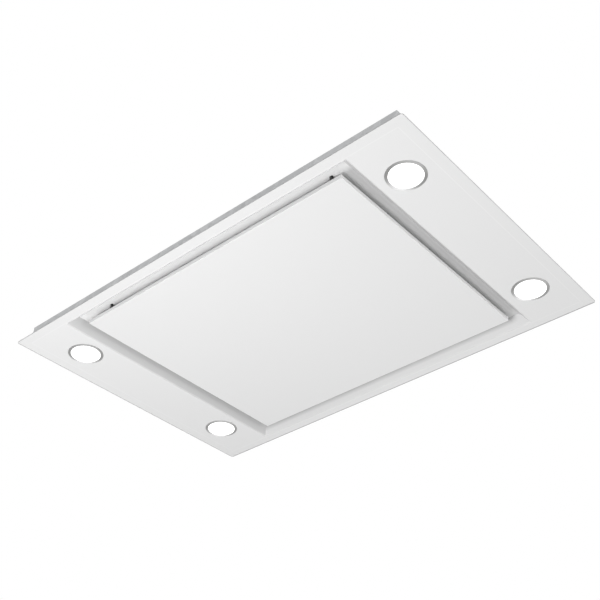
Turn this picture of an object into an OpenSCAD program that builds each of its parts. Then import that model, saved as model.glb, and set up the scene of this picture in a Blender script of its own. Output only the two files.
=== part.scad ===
// Ceiling range hood: a flush frame with a perimeter suction panel, four lamps,
// two grease filters, a centrifugal fan and a side duct outlet with a two flap damper.
// X runs along the long side, Y from the catch side to the hinge side, Z up.
// The origin is the middle of the frame, level with the lowest point of the lamp rings.

/* [Frame] */
// Length of the frame
frame_l = 900; // [880:1:1000]
// Width of the frame
frame_w = 595; // [585:1:660]
// Sheet thickness of the frame
frame_sheet = 1.2; // [0.8:0.1:1.6]
// Corner radius of the frame
frame_corner_r = 5; // [2:0.5:12]
// Flat band at each short end, where the lamps sit
end_band_w = 120; // [116:1:130]
// Flat band along each long side
side_band_w = 21.5; // [21:0.5:26]
// Depth of the recess around the panel
recess_depth = 18; // [18:0.5:19]
// Horizontal run of the sloped recess walls
recess_run = 15.5; // [14:0.5:17]

/* [Panel] */
// Suction slot between the panel and the recess edge at the short ends
end_slot_w = 31; // [24:0.5:34]
// Suction slot between the panel and the recess edge along the long sides
side_slot_w = 28; // [26:0.5:30]
// How far the panel's face is set back from the frame's face
panel_setback = 1.5; // [1:0.5:3]
// Height of the panel's rim
panel_h = 8; // [7:0.5:8]
// Sheet thickness of the panel's skin
panel_sheet = 1; // [0.8:0.1:1.4]
// Bevel where the panel's face meets its rim
panel_bevel = 0.8; // [0.4:0.1:0.9]
// Sheet thickness of the panel's inner pan
pan_sheet = 0.8; // [0.6:0.1:1.2]

/* [Panel hinges] */
// Distance from the panel's short ends to the hinges
hinge_x = 84; // [39:1:139]
// Width of the moving hinge arm
hinge_arm_w = 24; // [16:1:36]
// Length of the hinge arm over the panel's back
hinge_arm_l = 34; // [24:1:44]
// Sheet thickness of arm and bracket
hinge_sheet = 1.5; // [1.2:0.1:1.6]
// Diameter of the hinge pin
hinge_pin_d = 3; // [2.5:0.1:3.2]
// Distance of the hinge axis beyond the panel's edge
hinge_out = 3.2; // [3.1:0.1:3.3]
// Height of the hinge axis above the panel's back
hinge_up = 2.2; // [2.1:0.1:2.3]
// Length of the fixed hinge bracket
hinge_bracket_l = 62; // [58:1:80]
// Depth of the fixed hinge bracket
hinge_bracket_w = 14; // [10:1:16]

/* [Panel catches] */
// Distance from the panel's left end to the left catch
catch_left_x = 59; // [29:1:99]
// Distance from the panel's right end to the right catch
catch_right_x = 21; // [19:1:99]
// Width of the catch post
catch_post_w = 5; // [4:0.5:7]
// Depth of the catch post
catch_post_d = 4; // [3:0.5:5]
// Length of the catch foot on the panel's back
catch_foot_l = 20; // [14:1:26]
// Thickness of the catch foot
catch_foot_t = 1.5; // [1:0.1:2]
// How far the post reaches above the ledge
catch_reach = 5; // [3:0.5:6]
// Width of the catch housing
catch_case_w = 24; // [18:1:30]
// Depth of the catch housing
catch_case_d = 12; // [10:1:14]
// Height of the catch housing
catch_case_h = 14; // [13:0.5:15]
// Wall of the catch housing
catch_wall = 1.5; // [1.2:0.1:2]

/* [Lamps] */
// Distance from the frame's end to the lamp's middle
lamp_end_x = 71; // [64:1:77]
// Distance from the frame's long edge to the lamp's middle
lamp_side_y = 109.3; // [70:0.1:140]
// Outer diameter of the lamp ring
lamp_ring_d = 67.4; // [66:0.2:72]
// How far the ring stands below the frame
lamp_ring_proud = 1.2; // [0.8:0.1:2]
// Width of the ring's outer bevel
lamp_bevel = 2.2; // [1:0.1:3]
// Diameter of the glowing lens
lamp_lens_d = 56.8; // [50:0.2:58]
// Thickness of the lens
lamp_lens_t = 2; // [1.5:0.1:3]
// Hole in the frame for the lamp
lamp_hole_d = 60.5; // [60:0.1:62]
// Height of the sleeve above the frame's face
lamp_sleeve_h = 11; // [9:0.5:13]
// Height of the cooling fins
lamp_fin_h = 12; // [8:0.5:14]
// Number of cooling fins
lamp_fins = 9; // [5:2:11]

/* [Casing] */
// Inset of the casing from the frame's short ends
casing_end_inset = 20; // [16:0.5:24]
// Inset of the casing from the frame's long sides
casing_side_inset = 18.5; // [17:0.5:19]
// Height of the casing above the frame's face
casing_h = 36; // [35:0.5:45]
// Sheet thickness of the casing
casing_sheet = 1; // [0.8:0.1:1.2]
// Height of the fold that is screwed to the plenum
casing_fold_h = 16; // [12:1:20]

/* [Plenum] */
// Margin from the ledge's end to the plenum wall
plenum_end_margin = 14.5; // [10:0.5:16]
// Margin from the ledge's long side to the plenum wall
plenum_side_margin = 20.5; // [19:0.5:22]
// Height of the plenum above the frame's face
plenum_h = 78; // [70:1:90]
// Sheet thickness of the plenum
plenum_sheet = 1; // [0.8:0.1:1.2]
// Width of the inward foot on the ledge
plenum_foot_w = 14; // [12:0.5:18]

/* [Grease filters] */
// Bridge of the ledge between the two filters
filter_bridge = 24; // [20:1:40]
// Ledge left beyond each filter at the short ends
filter_end_margin = 30; // [26:1:40]
// Ledge left beyond each filter along the long sides
filter_side_margin = 35; // [32:1:45]
// Gap around each filter in its opening
filter_gap = 2; // [1:0.5:3]
// Thickness of the filter
filter_t = 9; // [9:0.5:12]
// Width of the filter's channel frame
filter_rim_w = 12; // [8:1:16]
// Sheet thickness of the filter's channel frame
filter_sheet = 1; // [0.8:0.1:1.2]
// Width of the fixed tongues
filter_tongue_w = 30; // [20:1:40]
// How far tongues and bolt reach over the ledge
filter_overlap = 6; // [4:0.5:7]

/* [Filter latches] */
// Width of the latch housing
latch_case_w = 60; // [56:1:80]
// Depth of the latch housing
latch_case_d = 34; // [33:1:44]
// Width of the sliding latch plate
latch_w = 40; // [36:1:44]
// Depth of the sliding latch plate
latch_d = 18; // [14:1:19]
// Thickness of the sliding latch plate
latch_t = 2.5; // [2:0.1:3]
// Width of the latch bolt
latch_bolt_w = 20; // [14:1:24]
// Width of the finger pull
latch_pull_w = 30; // [20:1:34]
// Thickness of the finger pull
latch_pull_t = 3; // [2:0.5:4]
// How far the finger pull hangs below the filter
latch_pull_drop = 3; // [2:0.5:4]
// Travel of the latch
latch_travel = 8; // [7:0.5:9]

/* [Fan] */
// Outer diameter of the fan wheel
wheel_d = 190; // [184:1:196]
// Height of the fan wheel
wheel_h = 100; // [90:1:104]
// Radial depth of the blades
blade_depth = 15; // [12:0.5:18]
// Thickness of a blade
blade_t = 1.2; // [1:0.1:1.6]
// Number of blades
blades = 32; // [24:1:40]
// Lean of the blades
blade_lean = 28; // [15:1:35]
// Thickness of the wheel's plates
wheel_plate_t = 2; // [1.6:0.1:2.4]
// Spiral radius at the tongue
scroll_tongue_r = 107; // [106:0.5:112]
// Spiral radius at the outlet
scroll_outlet_r = 165; // [160:1:168]
// Angle of the tongue
scroll_tongue_angle = 75; // [70:1:76]
// Height of the scroll's room under and over the fan wheel
scroll_room_h = 20; // [19:0.5:24]
// Wall of the scroll
scroll_wall = 2; // [1.6:0.1:2.4]
// Height of the rubber feet under the scroll
scroll_foot_h = 20; // [16:1:22]
// Inner diameter of the inlet ring
inlet_d = 144; // [130:1:145]

/* [Motor] */
// Diameter of the motor
motor_d = 94; // [84:1:96]
// Height of the motor
motor_h = 66; // [60:1:70]
// Diameter of the motor shaft
shaft_d = 8; // [6:0.5:8]
// Outer diameter of the shaft bearings
bearing_d = 22; // [19:0.5:24]
// Width of the shaft bearings
bearing_w = 7; // [6:0.5:8]
// Diameter of the motor's mounting plate
motor_plate_d = 150; // [140:1:160]
// Thickness of the motor's mounting plate
motor_plate_t = 2; // [1.5:0.1:2.5]
// Thickness of the rubber bushes under the mounting plate
bush_t = 5; // [4:0.5:6]

/* [Motor housing] */
// Length of the motor housing
housing_l = 338; // [334:1:350]
// Width of the motor housing
housing_w = 336; // [330:1:344]
// Height of the motor housing over the fan scroll
housing_h = 16; // [14:1:24]
// Sheet thickness of the motor housing
housing_sheet = 1; // [0.8:0.1:1.2]
// Width of the foot around the motor housing
housing_foot_w = 12; // [11:0.5:13]

/* [Duct outlet] */
// Outer diameter of the duct collar
collar_d = 149; // [148:0.1:150]
// Length of the duct collar
collar_l = 60; // [50:1:66]
// Wall of the duct collar
collar_wall = 2; // [1.6:0.1:2.4]
// Width of the collar's flange
collar_flange_w = 180; // [178:1:181]
// Height of the collar's flange
collar_flange_h = 154; // [152:1:156]
// Thickness of the collar's flange
collar_flange_t = 2; // [1.6:0.1:2.4]
// Thickness of the foam seal between scroll and housing
seal_t = 5; // [3:0.5:8]
// Thickness of the damper flaps
flap_t = 1.5; // [1.2:0.1:1.8]
// Diameter of the damper spindle
spindle_d = 4; // [3:0.5:5]

/* [Controls] */
// Length of the control box
control_l = 150; // [147:1:160]
// Width of the control box
control_w = 200; // [190:1:240]
// Height of the control box
control_h = 52; // [50:1:60]
// Wall of the control box
control_wall = 2; // [1.6:0.1:2.5]
// Gap between the motor housing and the control box
control_gap = 12; // [10:1:16]
// Diameter of the motor capacitor
capacitor_d = 30; // [25:1:34]
// Length of the motor capacitor
capacitor_l = 60; // [50:1:70]
// Largest cable that the gland takes
gland_bore_d = 8.5; // [6:0.5:9]

/* [Hangers] */
// Distance from the frame's short end to the hanger slots
hanger_end_x = 72; // [66:1:76]
// Distance from the frame's long edge to the hanger slots
hanger_side_y = 97.5; // [84:0.5:140]
// Height of the hangers
hanger_h = 40; // [30:1:60]
// Width of the hangers
hanger_w = 40; // [36:1:50]
// Sheet thickness of the hangers
hanger_sheet = 2; // [1.5:0.1:3]
// Width of the hanger slots
hanger_slot_w = 9; // [7:0.5:11]
// Length of the hanger slots
hanger_slot_l = 20; // [14:1:24]

/* [Hidden] */

$fn = 48;

// Overrun of every cut past the face that it opens
cut = 1;
// Gap between pieces that sit loosely in each other
loose_gap = 0.3;
// Radial gap of a turning fit
run_gap = 0.05;
// Radial gap of a fixed round fit
seat_gap = 0.02;

// Screws and rivets
screw_d = 4;
screw_head_d = 8;
screw_head_h = 2.4;
screw_l = 6;
rivet_d = 3;
rivet_head_d = 6;
rivet_head_h = 1;

// Heights, from the bottom up
face_z = lamp_ring_proud;
frame_top_z = face_z + frame_sheet;
panel_z = face_z + panel_setback;
panel_top_z = panel_z + panel_h;
ledge_z = face_z + recess_depth;
ledge_top_z = ledge_z + frame_sheet;
casing_top_z = face_z + casing_h;
casing_screw_z = casing_top_z + casing_fold_h / 2;
plenum_top_z = face_z + plenum_h;
scroll_z = plenum_top_z + scroll_foot_h;
scroll_floor_z = scroll_z + scroll_wall;
scroll_roof_z = scroll_floor_z + wheel_h + scroll_room_h;
scroll_top_z = scroll_roof_z + scroll_wall;
housing_top_z = scroll_top_z + housing_h;
motor_top_z = scroll_top_z + bush_t;
motor_z = motor_top_z - motor_h;
collar_z = (plenum_top_z + housing_top_z) / 2;

// Plan sizes that follow the frame
recess_l = frame_l - 2 * end_band_w;
recess_w = frame_w - 2 * side_band_w;
panel_l = recess_l - 2 * end_slot_w;
panel_w = recess_w - 2 * side_slot_w;
casing_l = frame_l - 2 * casing_end_inset;
casing_w = frame_w - 2 * casing_side_inset;
plenum_l = recess_l - 2 * recess_run - 2 * plenum_end_margin;
plenum_w = recess_w - 2 * recess_run - 2 * plenum_side_margin;
opening_l = (plenum_l - filter_bridge) / 2 - filter_end_margin;
opening_w = plenum_w - 2 * filter_side_margin;
filter_l = opening_l - 2 * filter_gap;
filter_w = opening_w - 2 * filter_gap;
filter_x = (filter_bridge + opening_l) / 2;
// Level thickness of the frame's sheet where it slopes
slope_sheet = frame_sheet * sqrt(recess_run * recess_run + recess_depth * recess_depth) / recess_depth;

// Lamps
lamp_x = frame_l / 2 - lamp_end_x;
lamp_y = frame_w / 2 - lamp_side_y;
lamp_lens_z = loose_gap;
lamp_seat_z = lamp_lens_z + lamp_lens_t;
lamp_sleeve_wall = 1;
lamp_sleeve_r = lamp_hole_d / 2 - loose_gap;
lamp_seat_r = lamp_lens_d / 2 - 2 * lamp_sleeve_wall;
lamp_sleeve_z = face_z + lamp_sleeve_h;
lamp_base_t = 3;
lamp_fin_t = 2;
lamp_fin_pitch = 2 * lamp_sleeve_r / (lamp_fins + 1);
clip_w = 8;
clip_t = 0.6;
clip_reach = 12;
clip_tip = 4;

// Hinge axis and reach of the knuckle
hinge_y = panel_w / 2 + hinge_out;
hinge_z = panel_top_z + hinge_up;
knuckle_r = hinge_out - loose_gap;
ear_r = knuckle_r - loose_gap;
ear_x = hinge_arm_w / 2 + loose_gap;
hinge_rivet_x = (hinge_bracket_l / 2 + ear_x + hinge_sheet) / 2;

// Catches
catch_y = -panel_w / 2 + catch_post_d / 2 + loose_gap;
catch_gap = 0.6;
magnet_w = catch_case_w - 2 * catch_wall - 2 * loose_gap;
// The housing stands against the plenum wall, a little off the post's middle
catch_case_shift = -plenum_w / 2 - loose_gap - catch_case_d / 2 - catch_y;
catch_post_top_z = ledge_top_z + catch_reach;

// Latches
latch_case_near_y = -filter_w / 2 + filter_sheet;
latch_z = ledge_top_z + loose_gap;
latch_plate_y = latch_case_near_y + catch_wall + loose_gap;

// Fan place and spiral
scroll_mid_r = spiral_r(180);
scroll_near_r = spiral_r(270);
tongue_x = scroll_tongue_r * cos(scroll_tongue_angle);
fan_x = -(scroll_outlet_r + tongue_x) / 2;
scroll_side_gap = 18;
housing_x = fan_x + (scroll_outlet_r - scroll_mid_r) / 2;
housing_edge_gap = 2;
housing_far_y = plenum_w / 2 - housing_edge_gap - housing_foot_w;
housing_y = housing_far_y - housing_w / 2;
fan_y = housing_far_y - housing_w + housing_sheet + scroll_side_gap + scroll_wall + scroll_near_r;
scroll_end_y = housing_far_y - housing_sheet - seal_t - fan_y;
scroll_steps = 48;
scroll_foot_d = 16;
scroll_foot_r = 105;
intake_d = 176;

// Spiral radius at an angle, from the tongue to the outlet
function spiral_r(a) = scroll_tongue_r
    + (scroll_outlet_r - scroll_tongue_r) * (a - scroll_tongue_angle) / (360 - scroll_tongue_angle);

// Wheel and inlet
wheel_r = wheel_d / 2;
wheel_gap = 8;
wheel_z = scroll_floor_z + wheel_gap;
wheel_top_z = wheel_z + wheel_h;
shroud_lap = 3;
cup_gap = 12;
cup_side_gap = 5;
cup_r = motor_d / 2 + cup_side_gap;
cup_z = motor_z - cup_gap - wheel_plate_t;
hub_r = 10;
hub_h = 8;
inlet_ring_t = 1.5;
bell_r = 14;
inlet_flange_w = 10;
bell_steps = 8;

// Motor inside
motor_wall = 2;
bearing_lip = 1;
motor_end_t = bearing_w + bearing_lip;
stator_r = 22.8;
rotor_gap = 0.8;
stack_margin = 9;
stack_low_z = motor_z + motor_end_t + stack_margin;
stack_high_z = motor_top_z - motor_end_t - stack_margin;
bush_r = 7;
bush_neck_r = 4;
bush_head_h = 2;
bush_place_r = 62;

// Duct outlet
collar_r = collar_d / 2 - collar_wall;
flap_gap = 1.2;
flap_hub_wall = 1.6;
flap_hub_r = spindle_d / 2 + flap_hub_wall;
flap_y = housing_far_y + collar_flange_t + flap_hub_r + loose_gap;
flap_start = flap_hub_r + 2 * loose_gap;
flap_stop_w = 2;
middle_hub_h = 40;
side_hub_low = 24;
side_hub_high = 50;
spring_low = 53;
spring_high = 66;
seal_rim = 6;
seal_lap = 2;

// Control box
control_x = housing_x + housing_l / 2 + housing_foot_w + control_gap;
control_y = housing_y - control_w / 2;
board_l = 110;
board_w = 120;
board_t = 1.6;
board_margin = 6;
board_post_h = 6;
board_post_r = 4;
relay_l = 28;
relay_w = 12;
relay_h = 16;
relays = 4;
coil_l = 34;
coil_h = 24;
terminal_l = 50;
terminal_w = 16;
terminal_h = 18;
terminals = 6;
terminal_slot_share = 0.6;
lid_t = 2;
lid_lip_h = 5;
stud_r = 4;
stud_l = 8;
stud_nut_r = 7;
stud_nut_h = 4;
// Places of the screws in the box's floor, as shares of its length and width
box_screw_shares = [[0.94, 0.06], [0.94, 0.94], [0.25, 0.72]];
gland_thread_r = 8;
gland_nut_r = 12;
gland_nut_h = 6;
gland_dome_r = 10;
gland_dome_h = 12;
gland_inner_nut_h = 4;
gland_height_share = 0.6;
gland_z = plenum_top_z + control_h * gland_height_share;

// Hanger places and feet
hanger_x = frame_l / 2 - hanger_end_x;
hanger_y = frame_w / 2 - hanger_side_y;
hanger_edge = 8;
hanger_head_l = hanger_slot_l + 2 * hanger_edge;
hanger_foot_l = 32;
hanger_screw_share = 0.3;

// Places along the plenum for its rivets and screws, as shares of its half length or width
plenum_rivet_shares = [-0.78, -0.5, -0.2, 0.2, 0.5, 0.78];
plenum_end_rivet_shares = [-0.5, 0, 0.5];
casing_screw_shares = [-0.6, 0.6];
housing_screw_shares = [-0.85, 0, 0.85];
collar_screw_share = 0.9;

// Solid with a level outline centred on the Z axis, between two heights
module slab(l, w, low, high) {
    translate([-l / 2, -w / 2, low])
        cube([l, w, high - low]);
}

// Upright cylinder between two heights
module drum(r, low, high) {
    translate([0, 0, low])
        cylinder(r = r, h = high - low);
}

// Ring between two radii and two heights
module ring(inner_r, outer_r, low, high) {
    difference() {
        drum(outer_r, low, high);
        drum(inner_r, low - cut, high + cut);
    }
}

module rounded_plate(l, w, h, r) {
    linear_extrude(height = h) {
        square([l - 2 * r, w], center = true);
        square([l, w - 2 * r], center = true);
        for (x = [-1, 1], y = [-1, 1])
            translate([x * (l / 2 - r), y * (w / 2 - r)])
                circle(r = r);
    }
}

// Block between two heights above the frame's face, with the recess's sloped sides
module recess_block(low, high, grow) {
    l_low = recess_l / 2 + grow - recess_run * low / recess_depth;
    l_high = recess_l / 2 + grow - recess_run * high / recess_depth;
    w_low = recess_w / 2 + grow - recess_run * low / recess_depth;
    w_high = recess_w / 2 + grow - recess_run * high / recess_depth;
    translate([0, 0, face_z])
        intersection() {
            rotate([90, 0, 0])
                linear_extrude(height = 2 * w_low, center = true)
                    polygon([[-l_low, low], [l_low, low], [l_high, high], [-l_high, high]]);
            rotate([90, 0, 90])
                linear_extrude(height = 2 * l_low, center = true)
                    polygon([[-w_low, low], [w_low, low], [w_high, high], [-w_high, high]]);
        }
}

// Places of what repeats
module at_filters() {
    for (side = [-1, 1])
        translate([side * filter_x, 0, 0])
            children();
}

module at_lamp(side, end) {
    translate([side * lamp_x, end * lamp_y, 0])
        children();
}

module at_lamps() {
    for (side = [-1, 1], end = [-1, 1])
        at_lamp(side, end)
            children();
}

module at_catches() {
    for (x = [catch_left_x - panel_l / 2, panel_l / 2 - catch_right_x])
        translate([x, catch_y, 0])
            children();
}

module at_hinge(side) {
    translate([side * (panel_l / 2 - hinge_x), hinge_y, 0])
        children();
}

module at_hinges() {
    for (side = [-1, 1])
        at_hinge(side)
            children();
}

module at_bracket_rivets() {
    for (side = [-1, 1])
        translate([side * hinge_rivet_x, 0, 0])
            children();
}

module at_arm_rivets() {
    for (row = [1, 2])
        translate([0, -row * hinge_arm_l / 3, 0])
            children();
}

module at_catch_rivets() {
    translate([0, catch_foot_l * 2 / 3, 0])
        children();
}

module at_plenum_rivets() {
    for (side = [-1, 1]) {
        for (share = plenum_rivet_shares)
            translate([share * plenum_l / 2, side * (plenum_w - plenum_foot_w) / 2, 0])
                children();
        for (share = plenum_end_rivet_shares)
            translate([side * (plenum_l - plenum_foot_w) / 2, share * plenum_w / 2, 0])
                children();
    }
}

module at_casing_screws() {
    for (side = [0, 180], share = casing_screw_shares) {
        rotate([0, 0, side])
            translate([share * plenum_l / 2, plenum_w / 2 + casing_sheet, casing_screw_z])
                rotate([-90, 0, 0])
                    children();
        rotate([0, 0, side])
            translate([plenum_l / 2 + casing_sheet, share * plenum_w / 2, casing_screw_z])
                rotate([0, 90, 0])
                    children();
    }
}

module at_housing_screws() {
    for (side = [-1, 1], share = housing_screw_shares)
        translate([housing_x + side * (housing_l + housing_foot_w) / 2, housing_y + share * housing_w / 2, 0])
            children();
}

module at_collar_screws() {
    half_w = collar_flange_w / 2 * collar_screw_share;
    half_h = collar_flange_h / 2 * collar_screw_share;
    for (x = [-1, 1], z = [-1, 1])
        translate([x * half_w, 0, collar_z + z * half_h])
            children();
}

module at_box_screws() {
    translate([control_x, control_y, plenum_top_z + control_wall])
        for (share = box_screw_shares)
            translate([share[0] * control_l, share[1] * control_w, 0])
                children();
}

module at_hangers() {
    for (side = [0, 1], end = [-1, 1])
        mirror([side, 0, 0])
            translate([hanger_x, end * hanger_y, 0])
                children();
}

module at_hanger_screws() {
    for (side = [-1, 1])
        translate([-(hanger_head_l + hanger_foot_l) / 2, side * hanger_w * hanger_screw_share, 0])
            children();
}

module at_scroll_feet() {
    for (turn = [45, 135, 225, 315])
        translate([fan_x, fan_y, 0])
            rotate([0, 0, turn])
                translate([scroll_foot_r, 0, 0])
                    children();
}

module at_motor_bushes() {
    for (turn = [90, 210, 330])
        translate([fan_x, fan_y, 0])
            rotate([0, 0, turn])
                translate([bush_place_r, 0, 0])
                    children();
}

module at_board_posts() {
    for (x = [0, 1], y = [0, 1])
        translate([
            control_x + control_wall + board_margin + board_post_r + x * (board_l - 2 * board_post_r),
            control_y + control_wall + board_margin + board_post_r + y * (board_w - 2 * board_post_r),
            0])
            children();
}

// Fasteners, each with its head's underside at z = 0
module pan_screw() {
    drum(screw_head_d / 2, 0, screw_head_h);
    drum(screw_d / 2, -screw_l, screw_head_h / 2);
}

module screw_hole(depth) {
    drum(screw_d / 2 + run_gap, -depth, cut);
}

// Rivet that grips sheets from one height to another
module rivet(low, high) {
    drum(rivet_d / 2, low - rivet_head_h / 2, high + rivet_head_h / 2);
    drum(rivet_head_d / 2, low - rivet_head_h, low);
    drum(rivet_head_d / 2, high, high + rivet_head_h);
}

module rivet_hole(low, high) {
    drum(rivet_d / 2 + run_gap, low - cut, high + cut);
}

// One sheet: flange, four sloped walls and the ledge with two filter openings
module fascia_frame() {
    color("white")
        difference() {
            union() {
                translate([0, 0, face_z])
                    rounded_plate(frame_l, frame_w, frame_sheet, frame_corner_r);
                recess_block(0, recess_depth + frame_sheet, slope_sheet);
            }
            recess_block(-cut, recess_depth, 0);
            at_filters()
                slab(opening_l, opening_w, ledge_z - cut, ledge_top_z + cut);
            at_lamps()
                drum(lamp_hole_d / 2, face_z - cut, frame_top_z + cut);
            at_catches()
                post_room(ledge_z - cut, ledge_top_z + cut);
            at_hinges()
                at_bracket_rivets()
                    rivet_hole(ledge_z, ledge_top_z);
            at_plenum_rivets()
                rivet_hole(ledge_z, ledge_top_z);
        }
}

// Low tray over the frame's back, folded up against the plenum
module casing() {
    color("silver")
        difference() {
            union() {
                slab(casing_l, casing_w, frame_top_z, casing_top_z);
                slab(plenum_l + 2 * casing_sheet, plenum_w + 2 * casing_sheet, casing_top_z - casing_sheet,
                    casing_top_z + casing_fold_h);
            }
            slab(casing_l - 2 * casing_sheet, casing_w - 2 * casing_sheet, frame_top_z - cut,
                casing_top_z - casing_sheet);
            slab(plenum_l, plenum_w, frame_top_z, casing_top_z + casing_fold_h + cut);
            at_casing_screws()
                screw_hole(2 * casing_sheet);
            at_hangers()
                at_hanger_screws()
                    translate([0, 0, casing_top_z])
                        screw_hole(2 * casing_sheet);
        }
}

// Foot of the suction box, a flat frame welded under its walls and riveted to the ledge
module plenum_foot() {
    color("silver")
        difference() {
            slab(plenum_l, plenum_w, ledge_top_z, ledge_top_z + plenum_sheet);
            slab(plenum_l - 2 * plenum_foot_w, plenum_w - 2 * plenum_foot_w, ledge_top_z - cut,
                ledge_top_z + 2 * plenum_sheet);
            at_plenum_rivets()
                rivet_hole(ledge_top_z, ledge_top_z + plenum_sheet);
        }
}

// Walls of the suction box, screwed to the casing's fold
module plenum_box() {
    color("silver")
        difference() {
            slab(plenum_l, plenum_w, ledge_top_z + plenum_sheet, plenum_top_z - plenum_sheet);
            slab(plenum_l - 2 * plenum_sheet, plenum_w - 2 * plenum_sheet, ledge_top_z,
                plenum_top_z);
            at_casing_screws()
                translate([0, 0, -casing_sheet])
                    screw_hole(2 * plenum_sheet);
        }
}

// Top plate of the suction box, with the fan's intake
module plenum_top() {
    color("silver")
        difference() {
            slab(plenum_l, plenum_w, plenum_top_z - plenum_sheet, plenum_top_z);
            translate([fan_x, fan_y, 0])
                drum(intake_d / 2, plenum_top_z - 2 * plenum_sheet, plenum_top_z + cut);
            at_housing_screws()
                translate([0, 0, plenum_top_z])
                    screw_hole(2 * plenum_sheet);
            at_box_screws()
                screw_hole(control_wall + 2 * plenum_sheet);
            at_scroll_feet()
                drum(bush_neck_r + run_gap, plenum_top_z - 2 * plenum_sheet, plenum_top_z + cut);
        }
}

// Walls of the cover over the fan, with an outward foot and the duct hole in the far wall
module motor_housing() {
    color("silver")
        difference() {
            translate([housing_x, housing_y, 0])
                difference() {
                    union() {
                        slab(housing_l, housing_w, plenum_top_z, housing_top_z - housing_sheet);
                        slab(housing_l + 2 * housing_foot_w, housing_w + 2 * housing_foot_w, plenum_top_z,
                            plenum_top_z + housing_sheet);
                    }
                    slab(housing_l - 2 * housing_sheet, housing_w - 2 * housing_sheet, plenum_top_z - cut,
                        housing_top_z);
                }
            translate([0, housing_far_y, collar_z])
                rotate([90, 0, 0])
                    drum(collar_r, -cut, 2 * housing_sheet);
            translate([0, housing_far_y + collar_flange_t, 0])
                at_collar_screws()
                    rotate([-90, 0, 0])
                        screw_hole(2 * collar_flange_t + 2 * housing_sheet);
            at_housing_screws()
                translate([0, 0, plenum_top_z + housing_sheet])
                    screw_hole(2 * housing_sheet + cut);
        }
}

module housing_top() {
    color("silver")
        translate([housing_x, housing_y, 0])
            slab(housing_l, housing_w, housing_top_z - housing_sheet, housing_top_z);
}

// Visible pan of the suction panel, with a bevel along its face
module panel_skin() {
    color("white")
        difference() {
            union() {
                slab(panel_l, panel_w, panel_z + panel_bevel, panel_top_z);
                intersection() {
                    bevelled_prism(panel_l, panel_w);
                    rotate([0, 0, 90])
                        bevelled_prism(panel_w, panel_l);
                }
            }
            slab(panel_l - 2 * panel_sheet, panel_w - 2 * panel_sheet, panel_z + panel_sheet,
                panel_top_z + cut);
        }
}

// Bar along Y with its two lower edges bevelled
module bevelled_prism(l, w) {
    half = l / 2;
    rotate([90, 0, 0])
        linear_extrude(height = w, center = true)
            polygon([
                [-half, panel_z + panel_bevel], [-half + panel_bevel, panel_z],
                [half - panel_bevel, panel_z], [half, panel_z + panel_bevel],
                [half, panel_z + 2 * panel_bevel], [-half, panel_z + 2 * panel_bevel]]);
}

// Inner pan that closes the panel's back
module panel_pan() {
    pan_l = panel_l - 2 * panel_sheet - 2 * loose_gap;
    pan_w = panel_w - 2 * panel_sheet - 2 * loose_gap;
    color("white")
        difference() {
            slab(pan_l, pan_w, panel_z + panel_sheet, panel_top_z);
            slab(pan_l - 2 * pan_sheet, pan_w - 2 * pan_sheet, panel_z, panel_top_z - pan_sheet);
            at_hinges()
                at_arm_rivets()
                    rivet_hole(panel_top_z - pan_sheet, panel_top_z);
            at_catches()
                at_catch_rivets()
                    rivet_hole(panel_top_z - pan_sheet, panel_top_z);
        }
}

// Moving leaf: a knuckle on the pin and a strap on the panel's back
module hinge_arm() {
    color("silver")
        difference() {
            union() {
                translate([0, 0, hinge_z])
                    rotate([0, 90, 0])
                        cylinder(r = knuckle_r, h = hinge_arm_w, center = true);
                translate([0, -hinge_arm_l / 2, 0])
                    slab(hinge_arm_w, hinge_arm_l, panel_top_z, panel_top_z + hinge_sheet);
            }
            translate([0, 0, hinge_z])
                rotate([0, 90, 0])
                    cylinder(r = hinge_pin_d / 2 + run_gap, h = hinge_arm_w + 2 * cut, center = true);
            at_arm_rivets()
                rivet_hole(panel_top_z, panel_top_z + hinge_sheet);
        }
}

// Fixed leaf under the ledge, with two ears that carry the pin
module hinge_bracket() {
    color("silver")
        difference() {
            union() {
                slab(hinge_bracket_l, hinge_bracket_w, ledge_z - hinge_sheet, ledge_z);
                for (side = [-1, 1])
                    translate([side * (ear_x + hinge_sheet / 2), 0, 0]) {
                        slab(hinge_sheet, 2 * ear_r, hinge_z, ledge_z - hinge_sheet / 2);
                        translate([0, 0, hinge_z])
                            rotate([0, 90, 0])
                                cylinder(r = ear_r, h = hinge_sheet, center = true);
                    }
            }
            translate([0, 0, hinge_z])
                rotate([0, 90, 0])
                    cylinder(r = hinge_pin_d / 2 + seat_gap, h = hinge_bracket_l, center = true);
            at_bracket_rivets()
                rivet_hole(ledge_z - hinge_sheet, ledge_z);
        }
}

module hinge_pins() {
    color("gray")
        at_hinges()
            translate([0, 0, hinge_z])
                rotate([0, 90, 0])
                    cylinder(r = hinge_pin_d / 2, h = 2 * (ear_x + 2 * hinge_sheet), center = true);
}

// Rivets of the hinge brackets and of the plenum's foot
module ledge_rivets() {
    color("gray") {
        at_hinges()
            at_bracket_rivets()
                rivet(ledge_z - hinge_sheet, ledge_top_z);
        at_plenum_rivets()
            rivet(ledge_z, ledge_top_z + plenum_sheet);
    }
}

// Rivets of the hinge arms and catch feet in the panel's inner pan
module panel_rivets() {
    color("gray") {
        at_hinges()
            at_arm_rivets()
                rivet(panel_top_z - pan_sheet, panel_top_z + hinge_sheet);
        at_catches()
            at_catch_rivets()
                rivet(panel_top_z - pan_sheet, panel_top_z + catch_foot_t);
    }
}

// Black posts that rise through the ledge to the magnets
module catch_posts() {
    color("black")
        at_catches()
            difference() {
                union() {
                    slab(catch_post_w, catch_post_d, panel_top_z, catch_post_top_z);
                    translate([0, catch_foot_l / 2, 0])
                        slab(catch_case_w, catch_foot_l, panel_top_z, panel_top_z + catch_foot_t);
                }
                at_catch_rivets()
                    rivet_hole(panel_top_z, panel_top_z + catch_foot_t);
            }
}

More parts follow.
